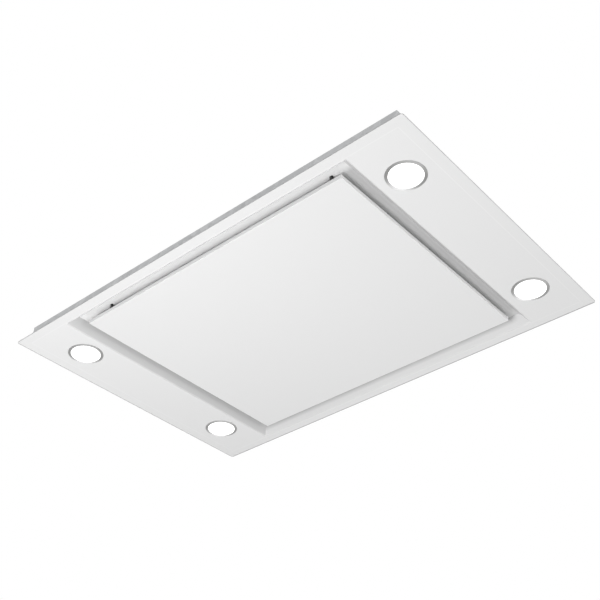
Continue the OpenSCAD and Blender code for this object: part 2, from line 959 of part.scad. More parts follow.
// Housings on the ledge that hold the catch magnets
module catch_cases() {
    color("black")
        at_catches()
            difference() {
                translate([0, catch_case_shift, 0])
                    slab(catch_case_w, catch_case_d, ledge_top_z, ledge_top_z + catch_case_h);
                translate([0, catch_case_shift, 0])
                    slab(catch_case_w - 2 * catch_wall, catch_case_d - 2 * catch_wall,
                        catch_post_top_z + loose_gap, ledge_top_z + catch_case_h - catch_wall);
                post_room(ledge_top_z - cut, catch_post_top_z + 2 * loose_gap);
            }
}

// Space round a catch post, between two heights
module post_room(low, high) {
    slab(catch_post_w + 2 * catch_gap, catch_post_d + 2 * catch_gap, low, high);
}

module catch_magnets() {
    color("dimgray")
        at_catches()
            translate([0, catch_case_shift, 0])
                slab(magnet_w, catch_case_d - 2 * catch_wall - 2 * loose_gap, catch_post_top_z + loose_gap,
                    ledge_top_z + catch_case_h - catch_wall - loose_gap);
}

// Channel frame of a grease filter, with two tongues that lie on the ledge
module filter_frame() {
    top_z = ledge_z + filter_t;
    color("silver") {
        difference() {
            slab(filter_l, filter_w, ledge_z, top_z);
            slab(filter_l - 2 * filter_rim_w, filter_w - 2 * filter_rim_w, ledge_z - cut, top_z + cut);
            slab(filter_l - 2 * filter_sheet, filter_w - 2 * filter_sheet, ledge_z + filter_sheet,
                top_z - filter_sheet);
            latch_room(loose_gap);
            translate([0, latch_case_near_y, 0])
                slab(latch_bolt_w + 2 * loose_gap, 2 * filter_sheet + 2 * cut, ledge_top_z,
                    latch_z + latch_t + loose_gap);
        }
        for (side = [-1, 1])
            translate([side * filter_l / 4, (filter_w + filter_gap + filter_overlap) / 2, 0])
                slab(filter_tongue_w, filter_gap + filter_overlap, ledge_top_z, ledge_top_z + filter_sheet);
    }
}

// Space that the latch housing takes from the filter
module latch_room(grow) {
    translate([0, latch_case_near_y + (latch_case_d + grow) / 2, 0])
        slab(latch_case_w + 2 * grow, latch_case_d + grow, ledge_z - cut, ledge_z + filter_t + cut);
}

// Pack of expanded mesh layers inside the channel frame
module filter_mesh() {
    color("lightgray")
        difference() {
            slab(filter_l - 2 * filter_sheet - 2 * loose_gap, filter_w - 2 * filter_sheet - 2 * loose_gap,
                ledge_z + filter_sheet, ledge_z + filter_t - filter_sheet - loose_gap);
            latch_room(2 * loose_gap);
        }
}

// Latch housing, open below for the finger pull and at the front for the bolt
module latch_case() {
    room_top_z = latch_z + latch_t + loose_gap;
    room_near_y = latch_plate_y - loose_gap;
    room_d = latch_d + latch_travel + 2 * loose_gap;
    pull_near_y = latch_plate_y + latch_d - latch_pull_t - loose_gap;
    pull_room_d = latch_pull_t + latch_travel + 2 * loose_gap;
    color("black")
        difference() {
            translate([0, latch_case_near_y + latch_case_d / 2, 0])
                slab(latch_case_w, latch_case_d, ledge_z + loose_gap, ledge_z + filter_t - loose_gap);
            translate([0, room_near_y + room_d / 2, 0])
                slab(latch_w + 2 * loose_gap, room_d, ledge_top_z, room_top_z);
            translate([0, latch_case_near_y, 0])
                slab(latch_bolt_w + 2 * loose_gap, 2 * (catch_wall + 2 * loose_gap), ledge_top_z, room_top_z);
            translate([0, pull_near_y + pull_room_d / 2, 0])
                slab(latch_pull_w + 2 * loose_gap, pull_room_d, ledge_z - cut, latch_z);
        }
}

// Sliding latch: a plate with a bolt over the ledge and a finger pull below
module filter_latch() {
    bolt_tip_y = -opening_w / 2 - filter_overlap;
    bolt_l = latch_plate_y - bolt_tip_y + latch_d / 2;
    color("black") {
        translate([0, latch_plate_y + latch_d / 2, 0])
            slab(latch_w, latch_d, latch_z, latch_z + latch_t);
        translate([0, bolt_tip_y + bolt_l / 2, 0])
            slab(latch_bolt_w, bolt_l, latch_z, latch_z + latch_t);
        translate([0, latch_plate_y + latch_d - latch_pull_t / 2, 0])
            slab(latch_pull_w, latch_pull_t, ledge_z - latch_pull_drop, latch_z + latch_t / 2);
    }
}

// Turned ring with a bevelled rim, a sleeve through the frame and a seat for the lens
module lamp_ring() {
    lens_r = lamp_lens_d / 2 + run_gap;
    ring_r = lamp_ring_d / 2;
    color("silver")
        rotate_extrude()
            polygon([
                [lens_r, 0], [ring_r - lamp_bevel, 0], [ring_r, face_z],
                [lamp_sleeve_r, face_z], [lamp_sleeve_r, lamp_sleeve_z],
                [lamp_seat_r, lamp_sleeve_z], [lamp_seat_r, lamp_seat_z], [lens_r, lamp_seat_z]]);
}

module lamp_lens() {
    color("white")
        drum(lamp_lens_d / 2, lamp_lens_z, lamp_seat_z);
}

// Finned lamp bodies behind the rings
module lamp_bodies() {
    base_top_z = lamp_sleeve_z + lamp_base_t;
    fin_low_z = base_top_z - lamp_base_t / 2;
    fin_top_z = base_top_z + lamp_fin_h;
    color("gray")
        at_lamps() {
            drum(lamp_seat_r - loose_gap, lamp_seat_z + lamp_lens_t, fin_low_z);
            drum(lamp_sleeve_r, lamp_sleeve_z, base_top_z);
            intersection() {
                drum(lamp_sleeve_r - clip_tip - loose_gap, fin_low_z, fin_top_z);
                for (i = [0 : lamp_fins - 1])
                    translate([0, (i - (lamp_fins - 1) / 2) * lamp_fin_pitch, 0])
                        slab(2 * lamp_sleeve_r, lamp_fin_t, fin_low_z, fin_top_z);
            }
        }
}

// Leaf springs that press the lamps down onto the frame's back
module lamp_clips() {
    seat_z = lamp_sleeve_z + lamp_base_t;
    knee_r = lamp_sleeve_r + loose_gap;
    tip_r = knee_r + clip_reach;
    color("silver")
        at_lamps()
            for (turn = [90, 270])
                rotate([90, 0, turn])
                    linear_extrude(height = clip_w, center = true)
                        polygon([
                            [lamp_sleeve_r - clip_tip, seat_z], [knee_r, seat_z],
                            [tip_r - 2 * clip_t, frame_top_z], [tip_r, frame_top_z],
                            [knee_r + clip_t, seat_z + clip_t], [lamp_sleeve_r - clip_tip, seat_z + clip_t]]);
}

// Outline of the spiral and its straight outlet, grown outwards by a wall
module scroll_outline(grow, end) {
    polygon(concat(
        [[tongue_x - grow, (scroll_tongue_r + grow) * sin(scroll_tongue_angle)]],
        [for (i = [1 : scroll_steps])
            let (a = scroll_tongue_angle + (360 - scroll_tongue_angle) * i / scroll_steps)
                (spiral_r(a) + grow) * [cos(a), sin(a)]],
        [[scroll_outlet_r + grow, end], [tongue_x - grow, end]]));
}

// Spiral housing, open at the top and at the outlet
module fan_scroll() {
    color("dimgray")
        difference() {
            translate([fan_x, fan_y, scroll_z])
                linear_extrude(height = scroll_roof_z - scroll_z)
                    scroll_outline(scroll_wall, scroll_end_y);
            translate([fan_x, fan_y, scroll_floor_z])
                linear_extrude(height = scroll_roof_z - scroll_floor_z + cut)
                    scroll_outline(0, scroll_end_y + cut);
            translate([fan_x, fan_y, 0])
                drum(inlet_d / 2 + bell_r + run_gap, scroll_z - cut, scroll_floor_z + cut);
            at_scroll_feet()
                drum(bush_neck_r + run_gap, scroll_z - cut, scroll_floor_z + cut);
        }
}

// Lid of the spiral housing, with the motor's hole
module scroll_cover() {
    color("dimgray")
        difference() {
            translate([fan_x, fan_y, scroll_roof_z])
                linear_extrude(height = scroll_wall)
                    scroll_outline(scroll_wall, scroll_end_y);
            translate([fan_x, fan_y, 0])
                drum(cup_r, scroll_roof_z - cut, scroll_top_z + cut);
            at_motor_bushes()
                drum(bush_neck_r + run_gap, scroll_roof_z - cut, scroll_top_z + cut);
        }
}

// Rubber feet between plenum and scroll, each with a button head at both ends
module scroll_feet() {
    low_z = plenum_top_z - plenum_sheet;
    color("black")
        at_scroll_feet() {
            drum(scroll_foot_d / 2, plenum_top_z, scroll_z);
            drum(bush_neck_r, low_z - bush_head_h / 2, scroll_floor_z + bush_head_h / 2);
            drum(bush_r, low_z - bush_head_h, low_z);
            drum(bush_r, scroll_floor_z, scroll_floor_z + bush_head_h);
        }
}

// Bell mouth under the scroll's floor
module inlet_ring() {
    centre_r = inlet_d / 2 + bell_r;
    low_z = scroll_z - inlet_ring_t;
    centre_z = low_z + bell_r;
    color("black")
        translate([fan_x, fan_y, 0])
            rotate_extrude()
                polygon(concat(
                    [[centre_r + inlet_flange_w, scroll_z], [centre_r + inlet_flange_w, low_z]],
                    [for (i = [0 : bell_steps])
                        let (a = 270 - 90 * i / bell_steps)
                            [centre_r + bell_r * cos(a), centre_z + bell_r * sin(a)]],
                    [for (i = [0 : bell_steps])
                        let (a = 180 + 90 * i / bell_steps, r = bell_r - inlet_ring_t)
                            [centre_r + r * cos(a), centre_z + r * sin(a)]]));
}

// Fan wheel with a cup that lets the motor sit inside
module fan_wheel() {
    bore_r = shaft_d / 2 + seat_gap;
    blade_r = wheel_r - blade_depth - blade_t;
    back_z = wheel_top_z - wheel_plate_t;
    color("slategray")
        translate([fan_x, fan_y, 0]) {
            rotate_extrude()
                polygon([
                    [bore_r, cup_z - hub_h], [hub_r, cup_z - hub_h], [hub_r, cup_z],
                    [cup_r + wheel_plate_t, cup_z], [cup_r + wheel_plate_t, back_z], [wheel_r, back_z],
                    [wheel_r, wheel_top_z], [cup_r, wheel_top_z], [cup_r, cup_z + wheel_plate_t],
                    [bore_r, cup_z + wheel_plate_t]]);
            ring(wheel_r - blade_depth - shroud_lap, wheel_r, wheel_z, wheel_z + wheel_plate_t);
            for (i = [0 : blades - 1])
                rotate([0, 0, 360 * i / blades])
                    translate([blade_r, 0, wheel_z + wheel_plate_t / 2])
                        rotate([0, 0, blade_lean])
                            cube([blade_depth, blade_t, wheel_h - wheel_plate_t]);
        }
}

// Closed motor casing with a bearing pocket at both ends
module motor_case() {
    color("silver")
        translate([fan_x, fan_y, 0])
            difference() {
                drum(motor_d / 2, motor_z, motor_top_z);
                drum(motor_d / 2 - motor_wall, motor_z + motor_end_t, motor_top_z - motor_end_t);
                drum(bearing_d / 2 + seat_gap, motor_z + bearing_lip, motor_top_z - bearing_lip);
                drum(shaft_d / 2 + loose_gap, motor_z - cut, motor_z + bearing_w);
            }
}

module motor_stator() {
    color("sienna")
        translate([fan_x, fan_y, 0])
            ring(stator_r, motor_d / 2 - motor_wall - seat_gap, stack_low_z, stack_high_z);
}

// Shaft with the rotor on it
module motor_shaft() {
    color("gray")
        translate([fan_x, fan_y, 0]) {
            drum(shaft_d / 2, cup_z - hub_h, motor_top_z - 2 * bearing_lip);
            drum(stator_r - rotor_gap, stack_low_z, stack_high_z);
        }
}

module motor_bearings() {
    color("lightgray")
        translate([fan_x, fan_y, 0])
            for (low = [motor_z + bearing_lip, motor_top_z - bearing_lip - bearing_w])
                ring(shaft_d / 2 + run_gap, bearing_d / 2, low, low + bearing_w);
}

// Plate that carries the motor over the scroll's lid
module motor_plate() {
    color("silver")
        difference() {
            translate([fan_x, fan_y, 0])
                drum(motor_plate_d / 2, motor_top_z, motor_top_z + motor_plate_t);
            at_motor_bushes()
                drum(bush_neck_r + run_gap, motor_top_z - cut, motor_top_z + motor_plate_t + cut);
        }
}

module motor_bushes() {
    color("black")
        at_motor_bushes() {
            drum(bush_r, scroll_top_z, motor_top_z);
            drum(bush_neck_r, scroll_roof_z - bush_head_h / 2, motor_top_z + motor_plate_t + bush_head_h / 2);
            drum(bush_r, scroll_roof_z - bush_head_h, scroll_roof_z);
            drum(bush_r, motor_top_z + motor_plate_t, motor_top_z + motor_plate_t + bush_head_h);
        }
}

// Foam frame between the scroll's outlet and the housing wall
module outlet_seal() {
    mouth_w = scroll_outlet_r - tongue_x;
    seal_w = mouth_w + 2 * scroll_wall + 2 * seal_rim;
    seal_low_z = min(scroll_z - seal_rim, collar_z - collar_r - seal_lap);
    seal_high_z = max(scroll_top_z, collar_z + collar_r) + seal_lap;
    color("dimgray")
        translate([0, fan_y + scroll_end_y + seal_t / 2, 0])
            difference() {
                slab(seal_w, seal_t, seal_low_z, seal_high_z);
                slab(mouth_w, seal_t + 2 * cut, scroll_floor_z, scroll_roof_z);
            }
}

// Round spigot with a flange on the housing and a stop ring for the flaps
module outlet_collar() {
    stop_y = flap_y - flap_t / 2 - loose_gap - housing_far_y;
    color("dimgray")
        difference() {
            translate([0, housing_far_y, collar_z]) {
                rotate([-90, 0, 0]) {
                    ring(collar_r, collar_d / 2, 0, collar_l);
                    ring(collar_r - flap_stop_w, collar_r + collar_wall / 2, 0, stop_y);
                }
                difference() {
                    translate([0, collar_flange_t / 2, 0])
                        slab(collar_flange_w, collar_flange_t, -collar_flange_h / 2, collar_flange_h / 2);
                    rotate([-90, 0, 0])
                        drum(collar_r, -cut, collar_flange_t + cut);
                }
            }
            translate([0, flap_y, collar_z])
                drum(spindle_d / 2 + seat_gap, -collar_d, collar_d);
            translate([0, housing_far_y + collar_flange_t, 0])
                at_collar_screws()
                    rotate([-90, 0, 0])
                        screw_hole(collar_flange_t + cut);
        }
}

// Half disc on one side of the spindle
module flap_plate() {
    intersection() {
        rotate([90, 0, 0])
            cylinder(r = collar_r - flap_gap, h = flap_t, center = true);
        translate([flap_start, -flap_t, -collar_r])
            cube([collar_r, 2 * flap_t, 2 * collar_r]);
    }
}

// Tube round the spindle with a web to the flap's plate
module flap_hub(low, high) {
    difference() {
        union() {
            drum(flap_hub_r, low, high);
            translate([0, -flap_t / 2, low])
                cube([flap_start + flap_hub_r, flap_t, high - low]);
        }
        drum(spindle_d / 2 + run_gap, low - cut, high + cut);
    }
}

module damper_flap_right() {
    color("gray")
        translate([0, flap_y, collar_z]) {
            flap_plate();
            flap_hub(-middle_hub_h / 2, middle_hub_h / 2);
        }
}

module damper_flap_left() {
    color("gray")
        translate([0, flap_y, collar_z])
            mirror([1, 0, 0]) {
                flap_plate();
                flap_hub(side_hub_low, side_hub_high);
                flap_hub(-side_hub_high, -side_hub_low);
            }
}

module damper_spindle() {
    color("silver")
        translate([0, flap_y, collar_z])
            drum(spindle_d / 2, -(collar_r + collar_wall / 2), collar_r + collar_wall / 2);
}

// Space of the closing spring, round the top of the spindle
module damper_spring() {
    color("gray")
        translate([0, flap_y, collar_z])
            ring(spindle_d / 2 + run_gap, flap_hub_r, spring_low, spring_high);
}

// Box beside the motor housing for the controls
module control_box() {
    color("dimgray") {
        difference() {
            translate([control_x, control_y, plenum_top_z])
                cube([control_l, control_w, control_h]);
            translate([control_x + control_wall, control_y + control_wall, plenum_top_z + control_wall])
                cube([control_l - 2 * control_wall, control_w - 2 * control_wall, control_h]);
            gland_place()
                drum(gland_thread_r + seat_gap, -control_wall - cut, cut);
            stud_place()
                drum(stud_r + seat_gap, -control_wall - cut, cut);
            at_box_screws()
                screw_hole(control_wall + cut);
        }
        at_board_posts()
            drum(board_post_r, plenum_top_z + control_wall / 2, plenum_top_z + control_wall + board_post_h);
    }
}

module gland_place() {
    translate([control_x + control_l, control_y + control_wall + board_margin + board_w / 2, gland_z])
        rotate([0, 90, 0])
            children();
}

module control_lid() {
    top_z = plenum_top_z + control_h;
    lip_l = control_l - 2 * control_wall - 2 * loose_gap;
    lip_w = control_w - 2 * control_wall - 2 * loose_gap;
    color("gray")
        translate([control_x + control_l / 2, control_y + control_w / 2, 0]) {
            slab(control_l, control_w, top_z, top_z + lid_t);
            difference() {
                slab(lip_l, lip_w, top_z - lid_lip_h, top_z + lid_t / 2);
                slab(lip_l - 2 * control_wall, lip_w - 2 * control_wall, top_z - lid_lip_h - cut,
                    top_z + lid_t / 2);
            }
        }
}

// Circuit board with its transformer and a row of relays
module control_board() {
    low_z = plenum_top_z + control_wall + board_post_h;
    color("darkgreen")
        translate([control_x + control_wall + board_margin, control_y + control_wall + board_margin, low_z]) {
            cube([board_l, board_w, board_t]);
            translate([board_margin, (board_w - coil_l) / 2, board_t / 2])
                cube([coil_l, coil_l, coil_h]);
            for (i = [0 : relays - 1])
                translate([board_l - board_margin - relay_l, board_margin + i * 2 * relay_w, board_t / 2])
                    cube([relay_l, relay_w, relay_h]);
        }
}

// Terminal block for the supply lead, with one slot for each wire
module terminal_block() {
    pitch = terminal_l / terminals;
    slot_w = pitch * terminal_slot_share;
    x = control_x + control_wall + board_margin + board_l + board_margin;
    y = control_y + control_wall + board_margin + (board_w - terminal_l) / 2;
    color("whitesmoke")
        translate([x, y, plenum_top_z + control_wall])
            difference() {
                cube([terminal_w, terminal_l, terminal_h]);
                for (i = [0 : terminals - 1])
                    translate([-cut, i * pitch + (pitch - slot_w) / 2, terminal_h * terminal_slot_share])
                        cube([terminal_w + 2 * cut, slot_w, terminal_h]);
            }
}

// Capacitor with a threaded stud and nut through the box wall
module motor_capacitor() {
    color("whitesmoke")
        stud_place() {
            drum(capacitor_d / 2, -control_wall - capacitor_l, -control_wall);
            drum(stud_r, -control_wall - capacitor_l / 2, stud_l - control_wall);
            cylinder(r = stud_nut_r, h = stud_nut_h, $fn = 6);
        }
}

// Outer side of the wall that holds the capacitor
module stud_place() {
    y = control_y + control_w - control_wall - capacitor_d / 2 - board_margin;
    translate([control_x, y, plenum_top_z + control_wall + capacitor_d / 2 + loose_gap])
        rotate([0, -90, 0])
            children();
}

// Cable gland through the box wall, with its lock nut inside
module cable_gland() {
    low = -control_wall - gland_inner_nut_h;
    color("black")
        gland_place()
            difference() {
                union() {
                    drum(gland_thread_r, low, gland_nut_h);
                    translate([0, 0, low])
                        cylinder(r = gland_nut_r, h = gland_inner_nut_h, $fn = 6);
                    cylinder(r = gland_nut_r, h = gland_nut_h, $fn = 6);
                    drum(gland_dome_r, gland_nut_h / 2, gland_nut_h + gland_dome_h);
                }
                drum(gland_bore_d / 2, low - cut, gland_nut_h + gland_dome_h + cut);
            }
}

// Stepped brackets on the casing, each with a slot for a threaded rod
module hangers() {
    top_z = casing_top_z + hanger_h;
    color("silver")
        at_hangers()
            difference() {
                union() {
                    slab(hanger_head_l, hanger_w, top_z - hanger_sheet, top_z);
                    translate([(hanger_sheet - hanger_head_l) / 2, 0, 0])
                        slab(hanger_sheet, hanger_w, casing_top_z, top_z);
                    translate([(hanger_sheet - hanger_head_l - hanger_foot_l) / 2, 0, 0])
                        slab(hanger_foot_l + hanger_sheet, hanger_w, casing_top_z,
                            casing_top_z + hanger_sheet);
                }
                translate([0, 0, top_z])
                    slot_cut(hanger_slot_l, hanger_slot_w, 2 * hanger_sheet);
                at_hanger_screws()
                    translate([0, 0, casing_top_z + hanger_sheet])
                        screw_hole(2 * hanger_sheet);
            }
}

module slot_cut(l, w, depth) {
    for (side = [-1, 1])
        translate([side * (l - w) / 2, 0, 0])
            drum(w / 2, -depth, cut);
    slab(l - w, w, -depth, cut);
}

// Screws of the casing, the hangers, the motor housing, the control box and the duct collar
module pan_screws() {
    color("gray") {
        at_casing_screws()
            pan_screw();
        at_hangers()
            at_hanger_screws()
                translate([0, 0, casing_top_z + hanger_sheet])
                    pan_screw();
        at_housing_screws()
            translate([0, 0, plenum_top_z + housing_sheet])
                pan_screw();
        at_box_screws()
            pan_screw();
        translate([0, housing_far_y + collar_flange_t, 0])
            at_collar_screws()
                rotate([-90, 0, 0])
                    pan_screw();
    }
}

fascia_frame();
casing();
plenum_foot();
plenum_box();
plenum_top();
motor_housing();
housing_top();
panel_skin();
panel_pan();
at_hinge(-1) hinge_arm();  // hinge_arm_left
at_hinge(1) hinge_arm();  // hinge_arm_right
catch_posts();
panel_rivets();
at_hinges() hinge_bracket();  // hinge_brackets
hinge_pins();
ledge_rivets();
catch_cases();
catch_magnets();
translate([-filter_x, 0, 0]) filter_frame();  // filter_frame_left
translate([filter_x, 0, 0]) filter_frame();  // filter_frame_right
translate([-filter_x, 0, 0]) filter_mesh();  // filter_mesh_left
translate([filter_x, 0, 0]) filter_mesh();  // filter_mesh_right
at_filters() latch_case();  // latch_cases
translate([-filter_x, 0, 0]) filter_latch();  // filter_latch_left
translate([filter_x, 0, 0]) filter_latch();  // filter_latch_right
at_lamp(-1, -1) lamp_ring();  // lamp_ring_near_left
at_lamp(1, -1) lamp_ring();  // lamp_ring_near_right
at_lamp(-1, 1) lamp_ring();  // lamp_ring_far_left
at_lamp(1, 1) lamp_ring();  // lamp_ring_far_right
at_lamp(-1, -1) lamp_lens();  // lamp_lens_near_left
at_lamp(1, -1) lamp_lens();  // lamp_lens_near_right
at_lamp(-1, 1) lamp_lens();  // lamp_lens_far_left
at_lamp(1, 1) lamp_lens();  // lamp_lens_far_right
lamp_bodies();
lamp_clips();
fan_scroll();
scroll_cover();
scroll_feet();
inlet_ring();
fan_wheel();
motor_case();
motor_stator();
motor_shaft();
motor_bearings();
motor_plate();
motor_bushes();
outlet_seal();
outlet_collar();
damper_flap_left();
damper_flap_right();
damper_spindle();
damper_spring();
control_box();
control_lid();
control_board();
terminal_block();
motor_capacitor();
cable_gland();
hangers();
pan_screws();
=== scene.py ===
import math

import bmesh
import bpy
from mathutils import Matrix, Vector


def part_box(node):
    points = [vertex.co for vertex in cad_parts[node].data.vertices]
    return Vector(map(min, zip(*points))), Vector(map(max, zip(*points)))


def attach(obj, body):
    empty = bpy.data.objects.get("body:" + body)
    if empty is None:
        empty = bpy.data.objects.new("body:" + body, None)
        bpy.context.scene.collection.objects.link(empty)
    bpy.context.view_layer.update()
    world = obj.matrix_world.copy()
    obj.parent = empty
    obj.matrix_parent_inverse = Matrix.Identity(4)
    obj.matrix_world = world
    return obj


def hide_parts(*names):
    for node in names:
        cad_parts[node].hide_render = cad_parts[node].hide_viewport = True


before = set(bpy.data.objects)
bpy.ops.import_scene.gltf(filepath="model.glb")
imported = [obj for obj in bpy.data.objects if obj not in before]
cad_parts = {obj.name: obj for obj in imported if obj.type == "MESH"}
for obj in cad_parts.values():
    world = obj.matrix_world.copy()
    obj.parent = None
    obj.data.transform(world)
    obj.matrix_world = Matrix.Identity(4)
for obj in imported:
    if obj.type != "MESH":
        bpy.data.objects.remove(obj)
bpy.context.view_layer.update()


# Camera
# It stands below the hood, beside its near right corner, and looks up at the underside, as the
# photograph does. Its place and lens come from the frame's four corners in the picture.
eye = Vector((0.988254, -1.155748, -1.095502))
forward = Vector((-0.517, 0.607, 0.603)).normalized()
level = Vector((0.761, 0.648, 0.001))
right = (level - level.dot(forward) * forward).normalized()
upward = right.cross(forward)
camera = bpy.data.objects.new("camera", bpy.data.cameras.new("camera"))
bpy.context.scene.collection.objects.link(camera)
camera.matrix_world = Matrix.Translation(eye) @ Matrix((right, upward, -forward)).transposed().to_4x4()
camera.data.sensor_width, camera.data.lens = 36.0, 60.78
camera.data.clip_start, camera.data.clip_end = 0.05, 60
bpy.context.scene.camera = camera


# Studio
# A white room whose pale floor, a room's height below the hood, lights the underside, most of all
# from straight below. One soft lamp brightens the near side, and one the panel's right rim.
def linear(code):
    """An sRGB colour such as "F4F4F2" as linear red, green, blue and full alpha."""
    parts = [int(code[i:i + 2], 16) / 255 for i in (0, 2, 4)]
    return tuple(p / 12.92 if p <= 0.04045 else ((p + 0.055) / 1.055) ** 2.4 for p in parts) + (1.0,)


def add(tree, kind, links=None, **settings):
    """Adds a node with its settings; links gives an input a value or another node's output."""
    made = tree.nodes.new(kind)
    for key, value in settings.items():
        setattr(made, key, value)
    for key, value in (links or {}).items():
        if isinstance(value, bpy.types.NodeSocket):
            tree.links.new(value, made.inputs[key])
        else:
            made.inputs[key].default_value = value
    return made


def calc(tree, operation, *values):
    """The result of one piece of arithmetic on numbers or on other nodes' outputs."""
    return add(tree, "ShaderNodeMath", dict(enumerate(values)), operation=operation).outputs[0]


def ramp(tree, value, low, high, start, end):
    """A number that goes from start to end while the value goes from low to high."""
    return add(tree, "ShaderNodeMapRange", {
        "Value": value, "From Min": low, "From Max": high, "To Min": start, "To Max": end}).outputs[0]


def blend(tree, share, first, second):
    """The first number where the share is 0, and the second where it is 1."""
    return add(tree, "ShaderNodeMix", {0: share, 2: first, 3: second}, data_type="FLOAT").outputs[0]


def seen_by(tree, *rays):
    """One for light rays of the named kinds, and zero for all others."""
    path = add(tree, "ShaderNodeLightPath").outputs
    share = path[rays[0]]
    for ray in rays[1:]:
        share = calc(tree, "MAXIMUM", share, path[ray])
    return share


bpy.context.scene.view_settings.view_transform = "Standard"
world = bpy.data.worlds.new("white_room")
bpy.context.scene.world = world
world.use_nodes = True
tree = world.node_tree
tree.nodes.clear()
# What lights the hood: bright overhead for its top, dim towards the horizon and below.
way = add(tree, "ShaderNodeSeparateXYZ", {0: add(tree, "ShaderNodeTexCoord").outputs["Generated"]})
dim = add(tree, "ShaderNodeBackground", {
    "Color": linear("FFFFFF"), "Strength": ramp(tree, way.outputs["Z"], 0.0, 0.35, 0.12, 0.85)})
white = add(tree, "ShaderNodeBackground", {"Color": linear("FFFFFF"), "Strength": 1.0})
shown = seen_by(tree, "Is Camera Ray", "Is Glossy Ray", "Is Transmission Ray")
sky = add(tree, "ShaderNodeMixShader", {0: shown, 1: dim.outputs[0], 2: white.outputs[0]})
add(tree, "ShaderNodeOutputWorld", {"Surface": sky.outputs[0]})

floor_z, floor_half = -2.3, 9.0
floor_mesh = bpy.data.meshes.new("floor")
floor_mesh.from_pydata([(x * floor_half, y * floor_half, floor_z)
                        for x, y in ((-1, -1), (1, -1), (1, 1), (-1, 1))], [], [(0, 1, 2, 3)])
floor = bpy.data.objects.new("floor", floor_mesh)
bpy.context.scene.collection.objects.link(floor)
floor_paint = bpy.data.materials.new("pale_floor")
floor_paint.use_nodes = True
tree = floor_paint.node_tree
tree.nodes.clear()
# The patch that lights the hood is long from the near side to the far side and narrow from end to
# end. The eye sees the whole floor white.
squeeze, bright_m, dim_m, bright, faint = (1.9, 0.9, 1.0), 2.3, 5.0, 1.60, 0.18
spread = add(tree, "ShaderNodeVectorMath", {
    0: add(tree, "ShaderNodeTexCoord").outputs["Object"], 1: squeeze}, operation="MULTIPLY")
reach = add(tree, "ShaderNodeVectorMath", {0: spread.outputs[0]}, operation="LENGTH")
patch = ramp(tree, reach.outputs["Value"], bright_m, dim_m, bright, faint)
strength = blend(tree, seen_by(tree, "Is Camera Ray", "Is Glossy Ray"), patch, 1.0)
glow = add(tree, "ShaderNodeEmission", {"Color": linear("FDFDFD"), "Strength": strength})
add(tree, "ShaderNodeOutputMaterial", {"Surface": glow.outputs[0]})
floor_mesh.materials.append(floor_paint)

for name, spot, size, watts in (("near_lamp", (-0.16, -0.95, -1.05), 0.9, 10.5),
                                ("right_lamp", (2.6, 0.0, -1.08), 0.8, 16.0)):
    lamp = bpy.data.objects.new(name, bpy.data.lights.new(name, "AREA"))
    lamp.data.shape = "DISK"
    lamp.data.size = size
    lamp.data.energy = watts
    bpy.context.scene.collection.objects.link(lamp)
    lamp.location = spot
    lamp.rotation_mode = "QUATERNION"
    lamp.rotation_quaternion = (-lamp.location).to_track_quat("-Z", "Y")
    lamp.visible_camera = False
    lamp.visible_glossy = False


# Frame
# One steel sheet pressed to a flange, four sloped walls and a ledge, and powder coated white.
# The folds have a small radius, and the casing spot welded behind leaves a faint line in the face.
def plain(piece):
    """Gives a piece the mesh that its modifiers make, and drops them."""
    graph = bpy.context.evaluated_depsgraph_get()
    made = bpy.data.meshes.new_from_object(piece.evaluated_get(graph), depsgraph=graph)
    piece.modifiers.clear()
    piece.data = made
    return piece


def smooth(mesh, angle=30):
    """Soft shading with every edge over the angle kept sharp."""
    mesh.polygons.foreach_set("use_smooth", [True] * len(mesh.polygons))
    mesh.set_sharp_from_angle(angle=math.radians(angle))


def merged(name):
    """A copy of a CAD piece's mesh with its corners joined and its flat faces whole."""
    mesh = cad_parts[name].data.copy()
    shape = bmesh.new()
    shape.from_mesh(mesh)
    bmesh.ops.remove_doubles(shape, verts=shape.verts, dist=1e-6)
    bmesh.ops.dissolve_limit(shape, angle_limit=math.radians(0.4), verts=shape.verts, edges=shape.edges)
    shape.to_mesh(mesh)
    shape.free()
    return mesh


def put(piece, name, material, body="hood", stands_for=()):
    """Names a finished piece, paints it and sets the body that it rides on."""
    piece.name = name
    piece.data.name = name
    piece.data.materials.clear()
    piece.data.materials.append(material)
    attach(piece, body)
    if stands_for:
        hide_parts(*stands_for)
    return piece


def soft_edged(name, radius, material, body="hood", steps=2):
    """A CAD piece with its edges rounded by a real radius in millimetres."""
    piece = bpy.data.objects.new(name + "_rounded", merged(name))
    bpy.context.scene.collection.objects.link(piece)
    edge = piece.modifiers.new("edge", "BEVEL")
    edge.width = radius / 1000
    edge.segments = steps
    edge.limit_method = "ANGLE"
    edge.angle_limit = math.radians(35)
    edge.use_clamp_overlap = True
    plain(piece)
    smooth(piece.data, 50)
    even = piece.modifiers.new("even", "WEIGHTED_NORMAL")
    even.keep_sharp = True
    plain(piece)
    return put(piece, name + "_rounded", material, body, (name,))


def finish_named(name):
    """A new material with its node tree and its principled shader."""
    material = bpy.data.materials.new(name)
    material.use_nodes = True
    tree = material.node_tree
    tree.nodes.clear()
    shader = add(tree, "ShaderNodeBsdfPrincipled")
    add(tree, "ShaderNodeOutputMaterial", {"Surface": shader.outputs["BSDF"]})
    return material, tree, shader


def mixed(tree, share, first, second):
    """The first colour where the share is 0, and the second where it is 1."""
    return add(tree, "ShaderNodeMix", {0: share, 6: first, 7: second}, data_type="RGBA").outputs[2]


def relief(tree, shader, strength, height_m, pattern):
    """Raises the surface by a pattern of the given real height."""
    bump = add(tree, "ShaderNodeBump", {"Strength": strength, "Distance": height_m, "Height": pattern})
    tree.links.new(bump.outputs["Normal"], shader.inputs["Normal"])


def true_normal(tree):
    """The parts of the direction that the flat face looks in, before any relief."""
    return add(tree, "ShaderNodeSeparateXYZ", {
        0: add(tree, "ShaderNodeNewGeometry").outputs["True Normal"]}).outputs


